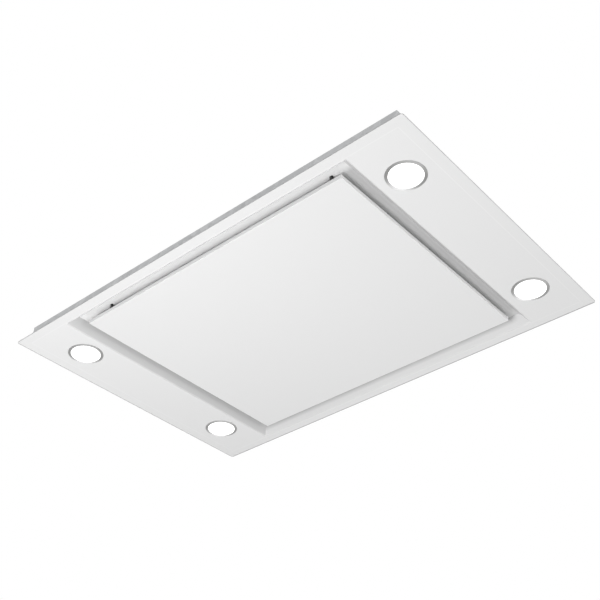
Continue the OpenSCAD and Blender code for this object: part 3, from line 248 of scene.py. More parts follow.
def powder_coat(name, code="D8D8D8"):
    """White polyester powder coat, cured on steel: an even satin white with a fine orange peel."""
    material, tree, shader = finish_named(name)
    place = add(tree, "ShaderNodeTexCoord").outputs["Object"]
    # The peel's waves are about 2.5 mm across.
    peel = add(tree, "ShaderNodeTexNoise", {"Vector": place, "Scale": 400.0, "Detail": 2.0})
    relief(tree, shader, 0.05, 0.0002, peel.outputs["Fac"])
    cloud = add(tree, "ShaderNodeTexNoise", {"Vector": place, "Scale": 6.0, "Detail": 3.0})
    tree.links.new(ramp(tree, cloud.outputs["Fac"], 0.0, 1.0, 0.36, 0.44), shader.inputs["Roughness"])
    shader.inputs["IOR"].default_value = 1.5
    shader.inputs["Base Color"].default_value = linear(code)
    return material, tree, shader


frame_enamel, tree, shader = powder_coat("powder_coated_frame")
at = add(tree, "ShaderNodeSeparateXYZ", {0: add(tree, "ShaderNodeTexCoord").outputs["Object"]}).outputs
facing = true_normal(tree)
off_middle = {axis: calc(tree, "ABSOLUTE", at[axis]) for axis in "XY"}
frame_x, frame_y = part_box("fascia_frame")[1][:2]
casing_x, casing_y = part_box("casing")[1][:2]
panel_x, panel_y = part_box("panel_skin")[1][:2]

# A paler line about 2 mm wide runs over each wall of the casing, and stops where it meets the next.
wall_middle, line_half = 0.0006, 0.0012
walls = {"X": casing_x - wall_middle, "Y": casing_y - wall_middle}
lines = []
for axis, other in ("XY", "YX"):
    gap = calc(tree, "ABSOLUTE", calc(tree, "SUBTRACT", off_middle[axis], walls[axis]))
    inside_other = calc(tree, "LESS_THAN", off_middle[other], walls[other])
    lines.append(calc(tree, "MULTIPLY", ramp(tree, gap, 0.0, line_half, 1.0, 0.0), inside_other))
flange = mixed(tree, calc(tree, "MAXIMUM", *lines), linear("D8D8D8"), linear("DEDEDE"))

# A strip of painted shade, a little darker, runs along the sheet's cut edge, most at the left and the far
# edge. Each row is a distance, where the sheet ends, and the strip's width.
edge_shade = 0.0
fade = 0.0001
for distance, sheet_end, width in (
        (off_middle["X"], frame_x, 0.0006), (off_middle["Y"], frame_y, 0.0006),
        (calc(tree, "MULTIPLY", at["X"], -1.0), frame_x, 0.0018), (at["Y"], frame_y, 0.0027)):
    strip = ramp(tree, distance, sheet_end - width - fade, sheet_end - width + fade, 0.0, 1.0)
    edge_shade = calc(tree, "MAXIMUM", edge_shade, strip)
flange = mixed(tree, edge_shade, flange, linear("A9A9A9"))

# Painted shade: the white gets greyer down the far and end slopes, and greyest where the end slopes
# meet the ledge, for the shade deep in the recess. The near slope stays white.
far_slope_shade = ramp(tree, at["Z"], 0.0085, 0.0187, 0.67, 0.34)
long_slope_shade = blend(tree, ramp(tree, facing["Y"], 0.3, 0.4, 0.0, 1.0), far_slope_shade, 0.95)
end_slope_shade = ramp(tree, at["Z"], 0.003, 0.0185, 0.57, 0.45)
is_end = ramp(tree, calc(tree, "ABSOLUTE", facing["X"]), 0.3, 0.4, 0.0, 1.0)
# In the far right corner less shade is painted, so the slopes stay light there.
lighter_corner = calc(tree, "MULTIPLY", ramp(tree, at["X"], panel_x - 0.003, panel_x + 0.011, 0.0, 1.0),
              ramp(tree, at["Y"], panel_y - 0.003, panel_y + 0.014, 0.0, 1.0))
slope = blend(tree, lighter_corner, blend(tree, is_end, long_slope_shade, end_slope_shade), 0.66)
# Painted shade: behind the panel's edge the ledge is still white, and darkens from there to the end slope's
# foot.
end_ledge_shade = ramp(tree, off_middle["X"], panel_x - 0.007, panel_x + 0.010, 0.98, 0.43)
far_corner = ramp(tree, at["Y"], panel_y - 0.012, panel_y + 0.002, 0.0, 1.0)
at_end = calc(tree, "MULTIPLY", ramp(tree, off_middle["X"], panel_x - 0.027, panel_x - 0.013, 0.0, 1.0),
              ramp(tree, at["Y"], -panel_y - 0.004, -panel_y + 0.010, 0.0, 1.0))
# The near ledge gets a slightly greyer painted shade, most towards the near slope.
long_ledge_shade = ramp(tree, at["Y"], -panel_y - 0.014, -panel_y - 0.002, 0.62, 0.69)
ledge = blend(tree, at_end, long_ledge_shade, blend(tree, far_corner, end_ledge_shade, 0.53))
is_flat = ramp(tree, calc(tree, "ABSOLUTE", facing["Z"]), 0.8, 0.9, 0.0, 1.0)
recess = blend(tree, is_flat, slope, ledge)
above_flange = ramp(tree, at["Z"], 0.0024, 0.0032, 0.0, 1.0)
tree.links.new(mixed(tree, above_flange, flange, recess), shader.inputs["Base Color"])
soft_edged("fascia_frame", 0.4, frame_enamel)


# Casing, plenum and motor housing
# Boxes folded from hot-dip galvanised sheet and screwed together over the frame. Their zinc shows
# grey flakes about a centimetre across, each of which catches the light a little differently.
def galvanised(name, dark, light):
    """Zinc crystals: flat flakes of two greys with a soft shine, duller where the zinc has aged."""
    material, tree, shader = finish_named(name)
    place = add(tree, "ShaderNodeTexCoord").outputs["Object"]
    # Crystals about 11 mm across, with edges bent by a coarse wave.
    wave = add(tree, "ShaderNodeTexNoise", {"Vector": place, "Scale": 60.0, "Detail": 1.0})
    bent = add(tree, "ShaderNodeMix", {0: 0.012, 4: place, 5: wave.outputs["Color"]}, data_type="VECTOR")
    flakes = add(tree, "ShaderNodeTexVoronoi", {"Vector": bent.outputs[1], "Scale": 90.0})
    grey = add(tree, "ShaderNodeSeparateColor", {"Color": flakes.outputs["Color"]})
    tone = mixed(tree, grey.outputs["Red"], linear(dark), linear(light))
    tree.links.new(tone, shader.inputs["Base Color"])
    dull = ramp(tree, grey.outputs["Green"], 0.0, 1.0, 0.34, 0.5)
    tree.links.new(dull, shader.inputs["Roughness"])
    shader.inputs["Metallic"].default_value = 1.0
    return material


zinc_sheet = galvanised("galvanised_sheet", "B2B3B4", "BFC0C1")
for name in ("casing", "plenum_foot", "plenum_box", "plenum_top", "motor_housing", "housing_top"):
    soft_edged(name, 0.3, zinc_sheet, steps=1)


# Lamps
# Four recessed lamps: a turned ring of satin nickel, a lit white lens inside it, and behind the
# frame a cast body with cooling fins, held down by two leaf springs.
def turned(name, profile, sides, centre):
    """A mesh turned round an upright axis from (radius, height) points; radius 0 makes a pole."""
    shape = bmesh.new()
    rings = []
    for radius, height in profile:
        turns = [0.0] if radius == 0 else [2 * math.pi * i / sides for i in range(sides)]
        rings.append([shape.verts.new((centre[0] + radius * math.cos(a), centre[1] + radius * math.sin(a),
                                       centre[2] + height)) for a in turns])
    closed = profile[0][0] != 0
    for low, high in zip(rings, rings[1:] + rings[:1] if closed else rings[1:]):
        for i in range(sides):
            around = ((low, i), (low, i + 1), (high, i + 1), (high, i))
            corners = [ring[j % len(ring)] for ring, j in around]
            shape.faces.new(list(dict.fromkeys(corners)))
    bmesh.ops.recalc_face_normals(shape, faces=shape.faces)
    mesh = bpy.data.meshes.new(name)
    shape.to_mesh(mesh)
    shape.free()
    smooth(mesh, 40)
    return mesh


def arc(radius, height, size, start, end, steps=5):
    """Points on an arc of a profile, in degrees from the outward direction."""
    turns = [math.radians(start + (end - start) * i / steps) for i in range(steps + 1)]
    return [(radius + size * math.cos(a), height + size * math.sin(a)) for a in turns]


satin_nickel, tree, shader = finish_named("satin_nickel")
radius_from_axis = add(tree, "ShaderNodeAttribute", attribute_name="radius_from_axis")
# Turning marks are really 0.05 mm apart; they are drawn about 0.4 mm apart, so that they show.
marks = add(tree, "ShaderNodeTexNoise", {
    "W": radius_from_axis.outputs["Fac"], "Scale": 2500.0, "Detail": 2.0}, noise_dimensions="1D")
relief(tree, shader, 0.12, 0.0001, marks.outputs["Fac"])
tone = mixed(tree, marks.outputs["Fac"], linear("8B8B8A"), linear("A3A3A2"))
# Painted highlight: two opposite fans of near white on the turned face.
fans = add(tree, "ShaderNodeAttribute", attribute_name="fan")
with_painted_highlight = mixed(tree, fans.outputs["Fac"], tone, linear("F8F8F8"))
tree.links.new(with_painted_highlight, shader.inputs["Base Color"])
shader.inputs["Metallic"].default_value = 1.0
shader.inputs["Roughness"].default_value = 0.3

lit_lens, tree, shader = finish_named("lit_opal_lens")
# Opal acrylic over the diodes: an even white glow, with a slightly glossy skin.
place = add(tree, "ShaderNodeTexCoord").outputs["Object"]
opal = add(tree, "ShaderNodeTexNoise", {"Vector": place, "Scale": 120.0, "Detail": 1.0})
tone = mixed(tree, opal.outputs["Fac"], linear("FBFBFA"), linear("FFFFFF"))
tree.links.new(tone, shader.inputs["Base Color"])
tree.links.new(tone, shader.inputs["Emission Color"])
shader.inputs["Emission Strength"].default_value = 1.0
shader.inputs["Roughness"].default_value = 0.25
shader.inputs["IOR"].default_value = 1.49

# The ring's face is domed by 0.2 mm between its inner lip and its outer edge, and the lens by
# 0.4 mm. Of the two fans of painted highlight, the one a highlight turn from the hood's right is full and
# the other faint.
ring_crown, edge_r, lip_r, face_z = 0.00018, 0.0011, 0.0003, 0.0012
lens_gap, sleeve_wall, lens_seat = 0.00005, 0.0015, 0.002
lens_dome, lens_edge_r = 0.0004, 0.0002
fan_turn = math.radians(145)
ring_sides, steps = 128, 8
for corner in ("near_left", "near_right", "far_left", "far_right"):
    low, high = (Vector(point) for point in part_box("lamp_ring_" + corner))
    lens_low, lens_high = (Vector(point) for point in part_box("lamp_lens_" + corner))
    middle = ((low.x + high.x) / 2, (low.y + high.y) / 2, 0.0)
    ring_r, lens_r = (high.x - low.x) / 2, (lens_high.x - lens_low.x) / 2
    inner_r, seat_r = lens_r + lens_gap, lens_r - lens_seat
    sleeve_r = inner_r + sleeve_wall
    crown_start, crown_end = inner_r + lip_r, ring_r - edge_r
    crown = [(crown_start + (crown_end - crown_start) * i / steps,
              ring_crown * (1 - math.sin(math.pi * i / steps))) for i in range(1, steps)]
    profile = (arc(crown_start, ring_crown + lip_r, lip_r, 180, 270) + crown
               + arc(crown_end, ring_crown + edge_r, edge_r, 270, 355)
               + [(ring_r, face_z), (sleeve_r, face_z), (sleeve_r, high.z), (seat_r, high.z),
                  (seat_r, lens_high.z), (inner_r, lens_high.z)])
    ring = bpy.data.objects.new("lamp_ring", turned("lamp_ring", profile, ring_sides, middle))
    bpy.context.scene.collection.objects.link(ring)
    spots = [(v.co.x - middle[0], v.co.y - middle[1]) for v in ring.data.vertices]
    reach = ring.data.attributes.new("radius_from_axis", "FLOAT", "POINT")
    reach.data.foreach_set("value", [math.hypot(x, y) for x, y in spots])
    fan = ring.data.attributes.new("fan", "FLOAT", "POINT")
    turns = [math.cos(math.atan2(y, x) - fan_turn) for x, y in spots]
    fan.data.foreach_set("value", [abs(turn) ** 3 * (0.65 + 0.35 * turn) for turn in turns])
    put(ring, "turned_ring_" + corner, satin_nickel, stands_for=("lamp_ring_" + corner,))

    dome_z = lens_low.z + lens_dome
    profile = ([(0.0, lens_low.z)]
               + [(lens_r * i / steps, lens_low.z + lens_dome * (i / steps) ** 2) for i in range(1, steps)]
               + [(lens_r - lens_edge_r, dome_z), (lens_r, dome_z + lens_edge_r),
                  (lens_r, lens_high.z), (0.0, lens_high.z)])
    lens = bpy.data.objects.new("lamp_lens", turned("lamp_lens", profile, ring_sides, middle))
    bpy.context.scene.collection.objects.link(lens)
    put(lens, "domed_lens_" + corner, lit_lens, stands_for=("lamp_lens_" + corner,))


def paint(name, material):
    """A CAD piece that is shown as it is, in a better material."""
    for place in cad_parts[name].material_slots:
        place.material = material


def cast_metal(name, dark, light, grain, roughness):
    """Metal with the fine pits of a die or of a blasted surface, seen as a soft, broken shine."""
    material, tree, shader = finish_named(name)
    place = add(tree, "ShaderNodeTexCoord").outputs["Object"]
    pits = add(tree, "ShaderNodeTexNoise", {"Vector": place, "Scale": 1 / grain, "Detail": 3.0})
    relief(tree, shader, 0.15, grain / 10, pits.outputs["Fac"])
    tone = mixed(tree, pits.outputs["Fac"], linear(dark), linear(light))
    tree.links.new(tone, shader.inputs["Base Color"])
    shader.inputs["Metallic"].default_value = 1.0
    shader.inputs["Roughness"].default_value = roughness
    return material


lamp_alloy = cast_metal("cast_lamp_alloy", "8E9193", "A9ACAE", 0.0012, 0.5)
soft_edged("lamp_bodies", 0.3, lamp_alloy, steps=1)
spring_steel = cast_metal("spring_steel", "94989C", "B4B8BC", 0.0008, 0.3)
paint("lamp_clips", spring_steel)


# Grease filters
# Each filter is a folded aluminium channel round a pack of expanded mesh, and lies on the ledge of
# its opening. Sheets of slit and stretched aluminium show inside the channel, below and above.
def brushed(name, dark, light, roughness):
    """Rolled aluminium: long fine lines along the sheet, with a streaky soft shine."""
    material, tree, shader = finish_named(name)
    place = add(tree, "ShaderNodeTexCoord").outputs["Object"]
    # The lines are drawn 0.8 mm apart and 30 mm long, coarser than the real ones so that they show.
    drawn_out = add(tree, "ShaderNodeMapping", {"Vector": place, "Scale": (33.0, 1200.0, 1200.0)})
    lines = add(tree, "ShaderNodeTexNoise", {"Vector": drawn_out.outputs[0], "Scale": 1.0, "Detail": 2.0})
    tone = mixed(tree, lines.outputs["Fac"], linear(dark), linear(light))
    tree.links.new(tone, shader.inputs["Base Color"])
    shine = ramp(tree, lines.outputs["Fac"], 0.0, 1.0, roughness - 0.06, roughness + 0.06)
    tree.links.new(shine, shader.inputs["Roughness"])
    shader.inputs["Metallic"].default_value = 1.0
    return material


def tree_for(name, inputs):
    """A geometry tree with named inputs, and the nodes at its two ends."""
    tree = bpy.data.node_groups.new(name, "GeometryNodeTree")
    tree.interface.new_socket("Geometry", in_out="INPUT", socket_type="NodeSocketGeometry")
    for label, kind in inputs.items():
        tree.interface.new_socket(label, in_out="INPUT", socket_type="NodeSocket" + kind)
    tree.interface.new_socket("Geometry", in_out="OUTPUT", socket_type="NodeSocketGeometry")
    return tree, add(tree, "NodeGroupInput").outputs


def close_tree(tree, geometry, material):
    """Ends a geometry tree: instances become real and get their material."""
    real = add(tree, "GeometryNodeRealizeInstances", {"Geometry": geometry})
    painted = add(tree, "GeometryNodeSetMaterial", {"Geometry": real.outputs[0], "Material": material})
    add(tree, "NodeGroupOutput", {"Geometry": painted.outputs[0]})


def grow(name, tree, values, mesh=None):
    """An object whose mesh is what the tree makes from the values."""
    piece = bpy.data.objects.new(name, mesh or bpy.data.meshes.new(name))
    bpy.context.scene.collection.objects.link(piece)
    growth = piece.modifiers.new("growth", "NODES")
    growth.node_group = tree
    for socket in tree.interface.items_tree:
        if socket.in_out == "INPUT" and socket.name in values:
            growth[socket.identifier] = values[socket.name]
    return plain(piece)


channel_metal = brushed("rolled_aluminium_channel", "C6C8CA", "DCDEE0", 0.34)
mesh_metal = brushed("expanded_aluminium", "B4B6B8", "D2D4D6", 0.36)

# The pack behind the first sheet: many crossed layers, as bright strands with dark diamonds of painted
# shade.
mesh_pack, tree, shader = finish_named("aluminium_mesh_layers")
place = add(tree, "ShaderNodeTexCoord").outputs["Object"]
crossed = []
for slant in (0.46, -0.46):
    turned_place = add(tree, "ShaderNodeMapping", {"Vector": place, "Rotation": (0, 0, slant)})
    bands = add(tree, "ShaderNodeTexWave", {
        "Vector": turned_place.outputs[0], "Scale": 55.0, "Distortion": 1.2, "Detail": 1.0,
        "Detail Scale": 30.0}, wave_type="BANDS", bands_direction="Y")
    crossed.append(ramp(tree, bands.outputs["Fac"], 0.6, 0.95, 0.0, 1.0))
net = calc(tree, "MAXIMUM", *crossed)
tone = mixed(tree, net, linear("3A3B3C"), linear("A9ABAD"))
tree.links.new(tone, shader.inputs["Base Color"])
relief(tree, shader, 0.5, 0.0006, net)
shader.inputs["Metallic"].default_value = 1.0
shader.inputs["Roughness"].default_value = 0.42

tree, given = tree_for("expanded_sheet", {
    "Length": "Float", "Width": "Float", "Diamond Length": "Float", "Diamond Width": "Float",
    "Strand Width": "Float", "Strand Thickness": "Float", "Notch Length": "Float", "Notch Edge": "Float",
    "Place": "Vector"})
spots = add(tree, "GeometryNodeMeshGrid", {
    "Size X": given["Length"], "Size Y": given["Width"],
    "Vertices X": calc(tree, "DIVIDE", given["Length"], given["Diamond Length"]),
    "Vertices Y": calc(tree, "DIVIDE", given["Width"], given["Diamond Width"])})
# The diamonds that the latch housing would cover are left out.
spot = add(tree, "ShaderNodeSeparateXYZ", {0: add(tree, "GeometryNodeInputPosition").outputs[0]})
beside = add(tree, "FunctionNodeCompare", {
    0: calc(tree, "ABSOLUTE", spot.outputs["X"]), 1: given["Notch Length"]},
    data_type="FLOAT", operation="LESS_THAN")
before = add(tree, "FunctionNodeCompare", {0: spot.outputs["Y"], 1: given["Notch Edge"]},
             data_type="FLOAT", operation="LESS_THAN")
in_notch = add(tree, "FunctionNodeBooleanMath", {0: beside.outputs[0], 1: before.outputs[0]},
               operation="AND")
kept = add(tree, "GeometryNodeDeleteGeometry", {
    "Geometry": spots.outputs["Mesh"], "Selection": in_notch.outputs[0]}, domain="POINT")
half_width = calc(tree, "MULTIPLY", given["Diamond Width"], 0.5)
diamond = add(tree, "GeometryNodeCurvePrimitiveQuadrilateral", {
    "Width": given["Diamond Length"], "Bottom Height": half_width, "Top Height": half_width}, mode="KITE")
section = add(tree, "GeometryNodeCurvePrimitiveQuadrilateral", {
    "Width": given["Strand Width"], "Height": given["Strand Thickness"]}, mode="RECTANGLE")
strands = add(tree, "GeometryNodeCurveToMesh", {
    "Curve": diamond.outputs[0], "Profile Curve": section.outputs[0]})
laid = add(tree, "GeometryNodeInstanceOnPoints", {
    "Points": kept.outputs[0], "Instance": strands.outputs[0]})
placed = add(tree, "GeometryNodeTransform", {"Geometry": laid.outputs[0], "Translation": given["Place"]})
close_tree(tree, placed.outputs[0], mesh_metal)
sheet_tree = tree

# The sheets lie inside the frame's channel, 0.4 mm off the pack, and leave the latch housing free.
diamond_length, diamond_width = 0.0096, 0.0048
strand_width, strand_thickness = 0.0009, 0.0005
channel_width, sheet_off = 0.0107, 0.0004
case_high = Vector(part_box("latch_cases")[1])
for side in ("left", "right"):
    soft_edged("filter_frame_" + side, 0.3, channel_metal, steps=1)
    paint("filter_mesh_" + side, mesh_pack)
    low, high = (Vector(corner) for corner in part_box("filter_mesh_" + side))
    middle = (low + high) / 2
    for where, height in (("_below", low.z - sheet_off), ("_above", high.z + sheet_off)):
        sheet = grow("sheet", sheet_tree, {
            "Length": high.x - low.x - 2 * channel_width - diamond_length,
            "Width": high.y - low.y - 2 * channel_width - diamond_width,
            "Diamond Length": diamond_length, "Diamond Width": diamond_width,
            "Strand Width": strand_width, "Strand Thickness": strand_thickness,
            "Notch Length": case_high.x - abs(middle.x) + diamond_length / 2,
            "Notch Edge": case_high.y - middle.y + diamond_width / 2,
            "Place": (middle.x, middle.y, height)})
        put(sheet, "expanded_sheet_" + side + where, mesh_metal)


# Filter latches
# Black nylon housings pressed into the near end of each filter. The bolt inside slides back with
# the finger pull, and lets the filter's near end drop.
def moulded(name, code, grain, roughness, depth=0.1):
    """Moulded plastic or rubber: one colour with the mould's fine grain, dull in its hollows."""
    material, tree, shader = finish_named(name)
    place = add(tree, "ShaderNodeTexCoord").outputs["Object"]
    texture = add(tree, "ShaderNodeTexNoise", {"Vector": place, "Scale": 1 / grain, "Detail": 2.0})
    relief(tree, shader, 0.3, grain * depth, texture.outputs["Fac"])
    shine = ramp(tree, texture.outputs["Fac"], 0.0, 1.0, roughness + 0.06, roughness - 0.06)
    tree.links.new(shine, shader.inputs["Roughness"])
    shader.inputs["Base Color"].default_value = linear(code)
    shader.inputs["IOR"].default_value = 1.5
    return material


black_nylon = moulded("black_nylon", "151516", 0.0006, 0.45)
soft_edged("latch_cases", 0.4, black_nylon)
for side in ("left", "right"):
    soft_edged("filter_latch_" + side, 0.4, black_nylon, "latch_" + side)


# Suction panel
# A flat powder-coated pan with a small bevel round its face, closed behind by an inner pan. Air goes
# in past its four edges. It hangs on two hinges and is held shut by two magnet catches.
panel_enamel, tree, shader = powder_coat("powder_coated_panel")
# Painted light: the folded rim is whiter than the face, most at the ends.
facing = true_normal(tree)
rim_painted_light = ramp(tree, calc(tree, "ABSOLUTE", facing["X"]), 0.3, 0.7, 0.70, 0.98)
is_face = ramp(tree, calc(tree, "ABSOLUTE", facing["Z"]), 0.6, 0.85, 0.0, 1.0)
white = blend(tree, is_face, rim_painted_light, 0.686)
tree.links.new(white, shader.inputs["Base Color"])
soft_edged("panel_skin", 0.35, panel_enamel, "panel", steps=3)
# The inner pan is out of sight and gets a thinner, greyer coat.
pan_enamel = powder_coat("thinly_coated_pan", "B6B6B6")[0]
soft_edged("panel_pan", 0.3, pan_enamel, "panel", steps=1)
soft_edged("catch_posts", 0.3, black_nylon, "panel")
soft_edged("catch_cases", 0.5, black_nylon)
ferrite = moulded("sintered_ferrite", "2B2B2C", 0.0004, 0.6)
paint("catch_magnets", ferrite)


# Hinges
# Stamped leaves of zinc-plated steel: an arm on the panel's back, and a bracket under the ledge
# whose two ears carry the pin.
zinc_plate = cast_metal("bright_zinc_plate", "B9BDC1", "D2D5D8", 0.0015, 0.3)
for side in ("left", "right"):
    soft_edged("hinge_arm_" + side, 0.25, zinc_plate, "panel")
soft_edged("hinge_brackets", 0.25, zinc_plate)
soft_edged("hinge_pins", 0.3, zinc_plate)


# Rivets and screws
# Blind rivets hold the hinges, the catch feet and the plenum's foot. Pan-head screws with a cross
# recess hold the sheet-metal boxes, the hangers, the control box and the duct collar.
def fastener_spots(name, head_height):
    """Where each loose piece of a CAD node has its heads, and which way each head looks."""
    shape = bmesh.new()
    shape.from_mesh(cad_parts[name].data)
    bmesh.ops.remove_doubles(shape, verts=shape.verts, dist=1e-6)
    spots, seen = [], set()
    for vert in shape.verts:
        if vert in seen:
            continue
        island, reached = [], [vert]
        seen.add(vert)
        while reached:
            at = reached.pop()
            island.append(at.co.copy())
            for edge in at.link_edges:
                other = edge.other_vert(at)
                if other not in seen:
                    seen.add(other)
                    reached.append(other)
        low = Vector(min(co[i] for co in island) for i in range(3))
        high = Vector(max(co[i] for co in island) for i in range(3))
        middle = (low + high) / 2
        off = sum(island, Vector()) / len(island) - middle
        axis = max(range(3), key=lambda i: abs(off[i]))
        # A piece with the same shape at both ends gets two heads.
        if abs(off[axis]) < 1e-4:
            ways = [Vector((0, 0, 1)), Vector((0, 0, -1))]
        else:
            ways = [Vector([math.copysign(1, off[i]) if i == axis else 0 for i in range(3)])]
        for way in ways:
            half = abs((high - low).dot(way)) / 2
            spots.append((middle + way * (half - head_height), way))
    shape.free()
    return spots


def spot_mesh(name, spots):
    """Points with the direction that each fastener's head looks in."""
    mesh = bpy.data.meshes.new(name)
    mesh.from_pydata([at for at, way in spots], [], [])
    toward = mesh.attributes.new("toward", "FLOAT_VECTOR", "POINT")
    toward.data.foreach_set("vector", [part for at, way in spots for part in way])
    return mesh


def fastener_tree(name, material):
    """A tree that sets one fastener on each point, looking along the point's direction."""
    tree, given = tree_for(name, {"Fastener": "Object", "Seed": "Int"})
    toward = add(tree, "GeometryNodeInputNamedAttribute", {"Name": "toward"}, data_type="FLOAT_VECTOR")
    facing = add(tree, "FunctionNodeAlignRotationToVector", {"Vector": toward.outputs[0]}, axis="Z")
    spin = add(tree, "FunctionNodeRandomValue", {"Min": 0.0, "Max": 2 * math.pi, "Seed": given["Seed"]},
               data_type="FLOAT")
    turn = add(tree, "ShaderNodeCombineXYZ", {"Z": spin.outputs[1]})
    local = add(tree, "FunctionNodeEulerToRotation", {0: turn.outputs[0]})
    both = add(tree, "FunctionNodeRotateRotation", {
        "Rotation": facing.outputs[0], "Rotate By": local.outputs[0]}, rotation_space="LOCAL")
    shape = add(tree, "GeometryNodeObjectInfo", {"Object": given["Fastener"]}, transform_space="ORIGINAL")
    points = add(tree, "GeometryNodeMeshToPoints", {"Mesh": given["Geometry"]})
    laid = add(tree, "GeometryNodeInstanceOnPoints", {
        "Points": points.outputs[0], "Instance": shape.outputs["Geometry"], "Rotation": both.outputs[0]})
    close_tree(tree, laid.outputs[0], material)
    return tree


rivet_head_r, rivet_head_h, rivet_shank_r, rivet_shank_l = 0.003, 0.001, 0.0016, 0.0008
rivet_profile = [(0.0, -rivet_shank_l), (rivet_shank_r, -rivet_shank_l), (rivet_shank_r, 0.0)] + [
    (rivet_head_r * math.cos(a), rivet_head_h * math.sin(a))
    for a in (math.radians(15 * i) for i in range(6))] + [(0.0, rivet_head_h)]
rivet_shape = bpy.data.objects.new("rivet_shape", turned("rivet_shape", rivet_profile, 20, (0, 0, 0)))

screw_head_r, screw_head_h, screw_shank_r, screw_shank_l = 0.004, 0.0024, 0.002, 0.006
head_round, shank_point = 0.0014, 0.0004
screw_profile = ([(0.0, -screw_shank_l), (screw_shank_r - shank_point, -screw_shank_l),
                  (screw_shank_r, shank_point - screw_shank_l), (screw_shank_r, 0.0), (screw_head_r, 0.0)]
                 + arc(screw_head_r - head_round, screw_head_h - head_round, head_round, 0, 80, 4)
                 + [(0.0, screw_head_h)])
screw_shape = bpy.data.objects.new("screw_shape", turned("screw_shape", screw_profile, 24, (0, 0, 0)))

# The cross recess tapers, so its cutter is narrow at the bottom and wide above the head.
arm, half_slot, recess_depth, overrun = 0.0022, 0.0005, 0.0014, 0.001
outline = []
for quarter in range(4):
    for across, along in ((half_slot, half_slot), (arm, half_slot), (arm, -half_slot)):
        spot = Vector((across, along, 0.0))
        spot.rotate(Matrix.Rotation(-math.pi / 2 * quarter, 3, "Z"))
        outline.append(spot)
cutter_mesh = bpy.data.meshes.new("cross_cutter")
ends = [(spot.x * wide, spot.y * wide, height) for wide, height in (
    (0.55, screw_head_h - recess_depth), (1.15, screw_head_h + overrun)) for spot in outline]
count = len(outline)
cutter_mesh.from_pydata(ends, [], [list(range(count))[::-1], list(range(count, 2 * count))]
                        + [[i, (i + 1) % count, count + (i + 1) % count, count + i] for i in range(count)])
cutter_shape = bmesh.new()
cutter_shape.from_mesh(cutter_mesh)
bmesh.ops.recalc_face_normals(cutter_shape, faces=cutter_shape.faces)
cutter_shape.to_mesh(cutter_mesh)
cutter_shape.free()
cutter = bpy.data.objects.new("cross_cutter", cutter_mesh)
for helper in (rivet_shape, screw_shape, cutter):
    bpy.context.scene.collection.objects.link(helper)
recess = screw_shape.modifiers.new("recess", "BOOLEAN")
recess.operation = "DIFFERENCE"
recess.solver = "EXACT"
recess.object = cutter
plain(screw_shape)
smooth(screw_shape.data, 40)
bpy.data.objects.remove(cutter)

rivet_metal = cast_metal("rivet_steel", "A5A8AB", "BEC1C4", 0.0008, 0.35)
rivet_tree = fastener_tree("rivets", rivet_metal)
for name, body in (("panel_rivets", "panel"), ("ledge_rivets", "hood")):
    rivets = grow(name + "_domed", rivet_tree, {"Fastener": rivet_shape, "Seed": 7},
                  spot_mesh(name, fastener_spots(name, rivet_head_h)))
    put(rivets, name + "_domed", rivet_metal, body, (name,))

screw_tree = fastener_tree("screws", zinc_plate)
screws = grow("pan_screws_cross", screw_tree, {"Fastener": screw_shape, "Seed": 11},
              spot_mesh("pan_screws", fastener_spots("pan_screws", screw_head_h)))
put(screws, "pan_screws_cross", zinc_plate, "hood", ("pan_screws",))
for helper in (rivet_shape, screw_shape):
    bpy.data.objects.remove(helper)


# Fan
# A spiral housing and a forward-curved wheel moulded in dark glass-filled plastic, on rubber feet.
# The closed motor sits in the wheel's cup, and hangs by its top from a steel plate.
fan_plastic = moulded("glass_filled_fan_plastic", "2B2C2E", 0.0012, 0.5)
wheel_plastic = moulded("wheel_plastic", "3C4653", 0.0012, 0.45)
rubber = moulded("black_rubber", "101010", 0.0008, 0.75, 0.15)
for name in ("fan_scroll", "scroll_cover"):
    paint(name, fan_plastic)
paint("inlet_ring", black_nylon)
paint("fan_wheel", wheel_plastic)
soft_edged("scroll_feet", 0.5, rubber, steps=1)
soft_edged("motor_bushes", 0.5, rubber, steps=1)
motor_zinc = cast_metal("passivated_motor_steel", "A2A69F", "BCBFB8", 0.002, 0.38)
paint("motor_case", motor_zinc)
paint("motor_plate", zinc_plate)
ground_steel = cast_metal("ground_steel", "A9ACAF", "C6C9CC", 0.0006, 0.22)
paint("motor_shaft", ground_steel)
paint("motor_bearings", ground_steel)

stator_steel, tree, shader = finish_named("varnished_stator")
# Laminations 0.5 mm thick are drawn 1 mm apart under brown winding varnish.
place = add(tree, "ShaderNodeTexCoord").outputs["Object"]
layers = add(tree, "ShaderNodeTexWave", {"Vector": place, "Scale": 314.0},
             wave_type="BANDS", bands_direction="Z")
tone = mixed(tree, layers.outputs["Fac"], linear("4A2A18"), linear("8A5A3A"))
tree.links.new(tone, shader.inputs["Base Color"])
shader.inputs["Metallic"].default_value = 0.6
shader.inputs["Roughness"].default_value = 0.35
paint("motor_stator", stator_steel)


# Duct outlet
# A moulded collar screwed over a foam frame, with two light flaps on one steel pin. A small wire
# spring round the pin closes the flaps when the fan stops.
foam, tree, shader = finish_named("grey_seal_foam")
place = add(tree, "ShaderNodeTexCoord").outputs["Object"]
# Open cells, drawn 1.2 mm across.
cells = add(tree, "ShaderNodeTexVoronoi", {"Vector": place, "Scale": 830.0})
relief(tree, shader, 0.6, 0.0005, cells.outputs["Distance"])
tone = mixed(tree, cells.outputs["Distance"], linear("2C2C2D"), linear("4A4A4B"))
tree.links.new(tone, shader.inputs["Base Color"])
shader.inputs["Roughness"].default_value = 0.95
paint("outlet_seal", foam)
soft_edged("outlet_collar", 0.4, fan_plastic)
flap_plastic = moulded("grey_flap_plastic", "6E7073", 0.0010, 0.42)
soft_edged("damper_flap_left", 0.25, flap_plastic, "flap_left", steps=1)
soft_edged("damper_flap_right", 0.25, flap_plastic, "flap_right", steps=1)
paint("damper_spindle", ground_steel)

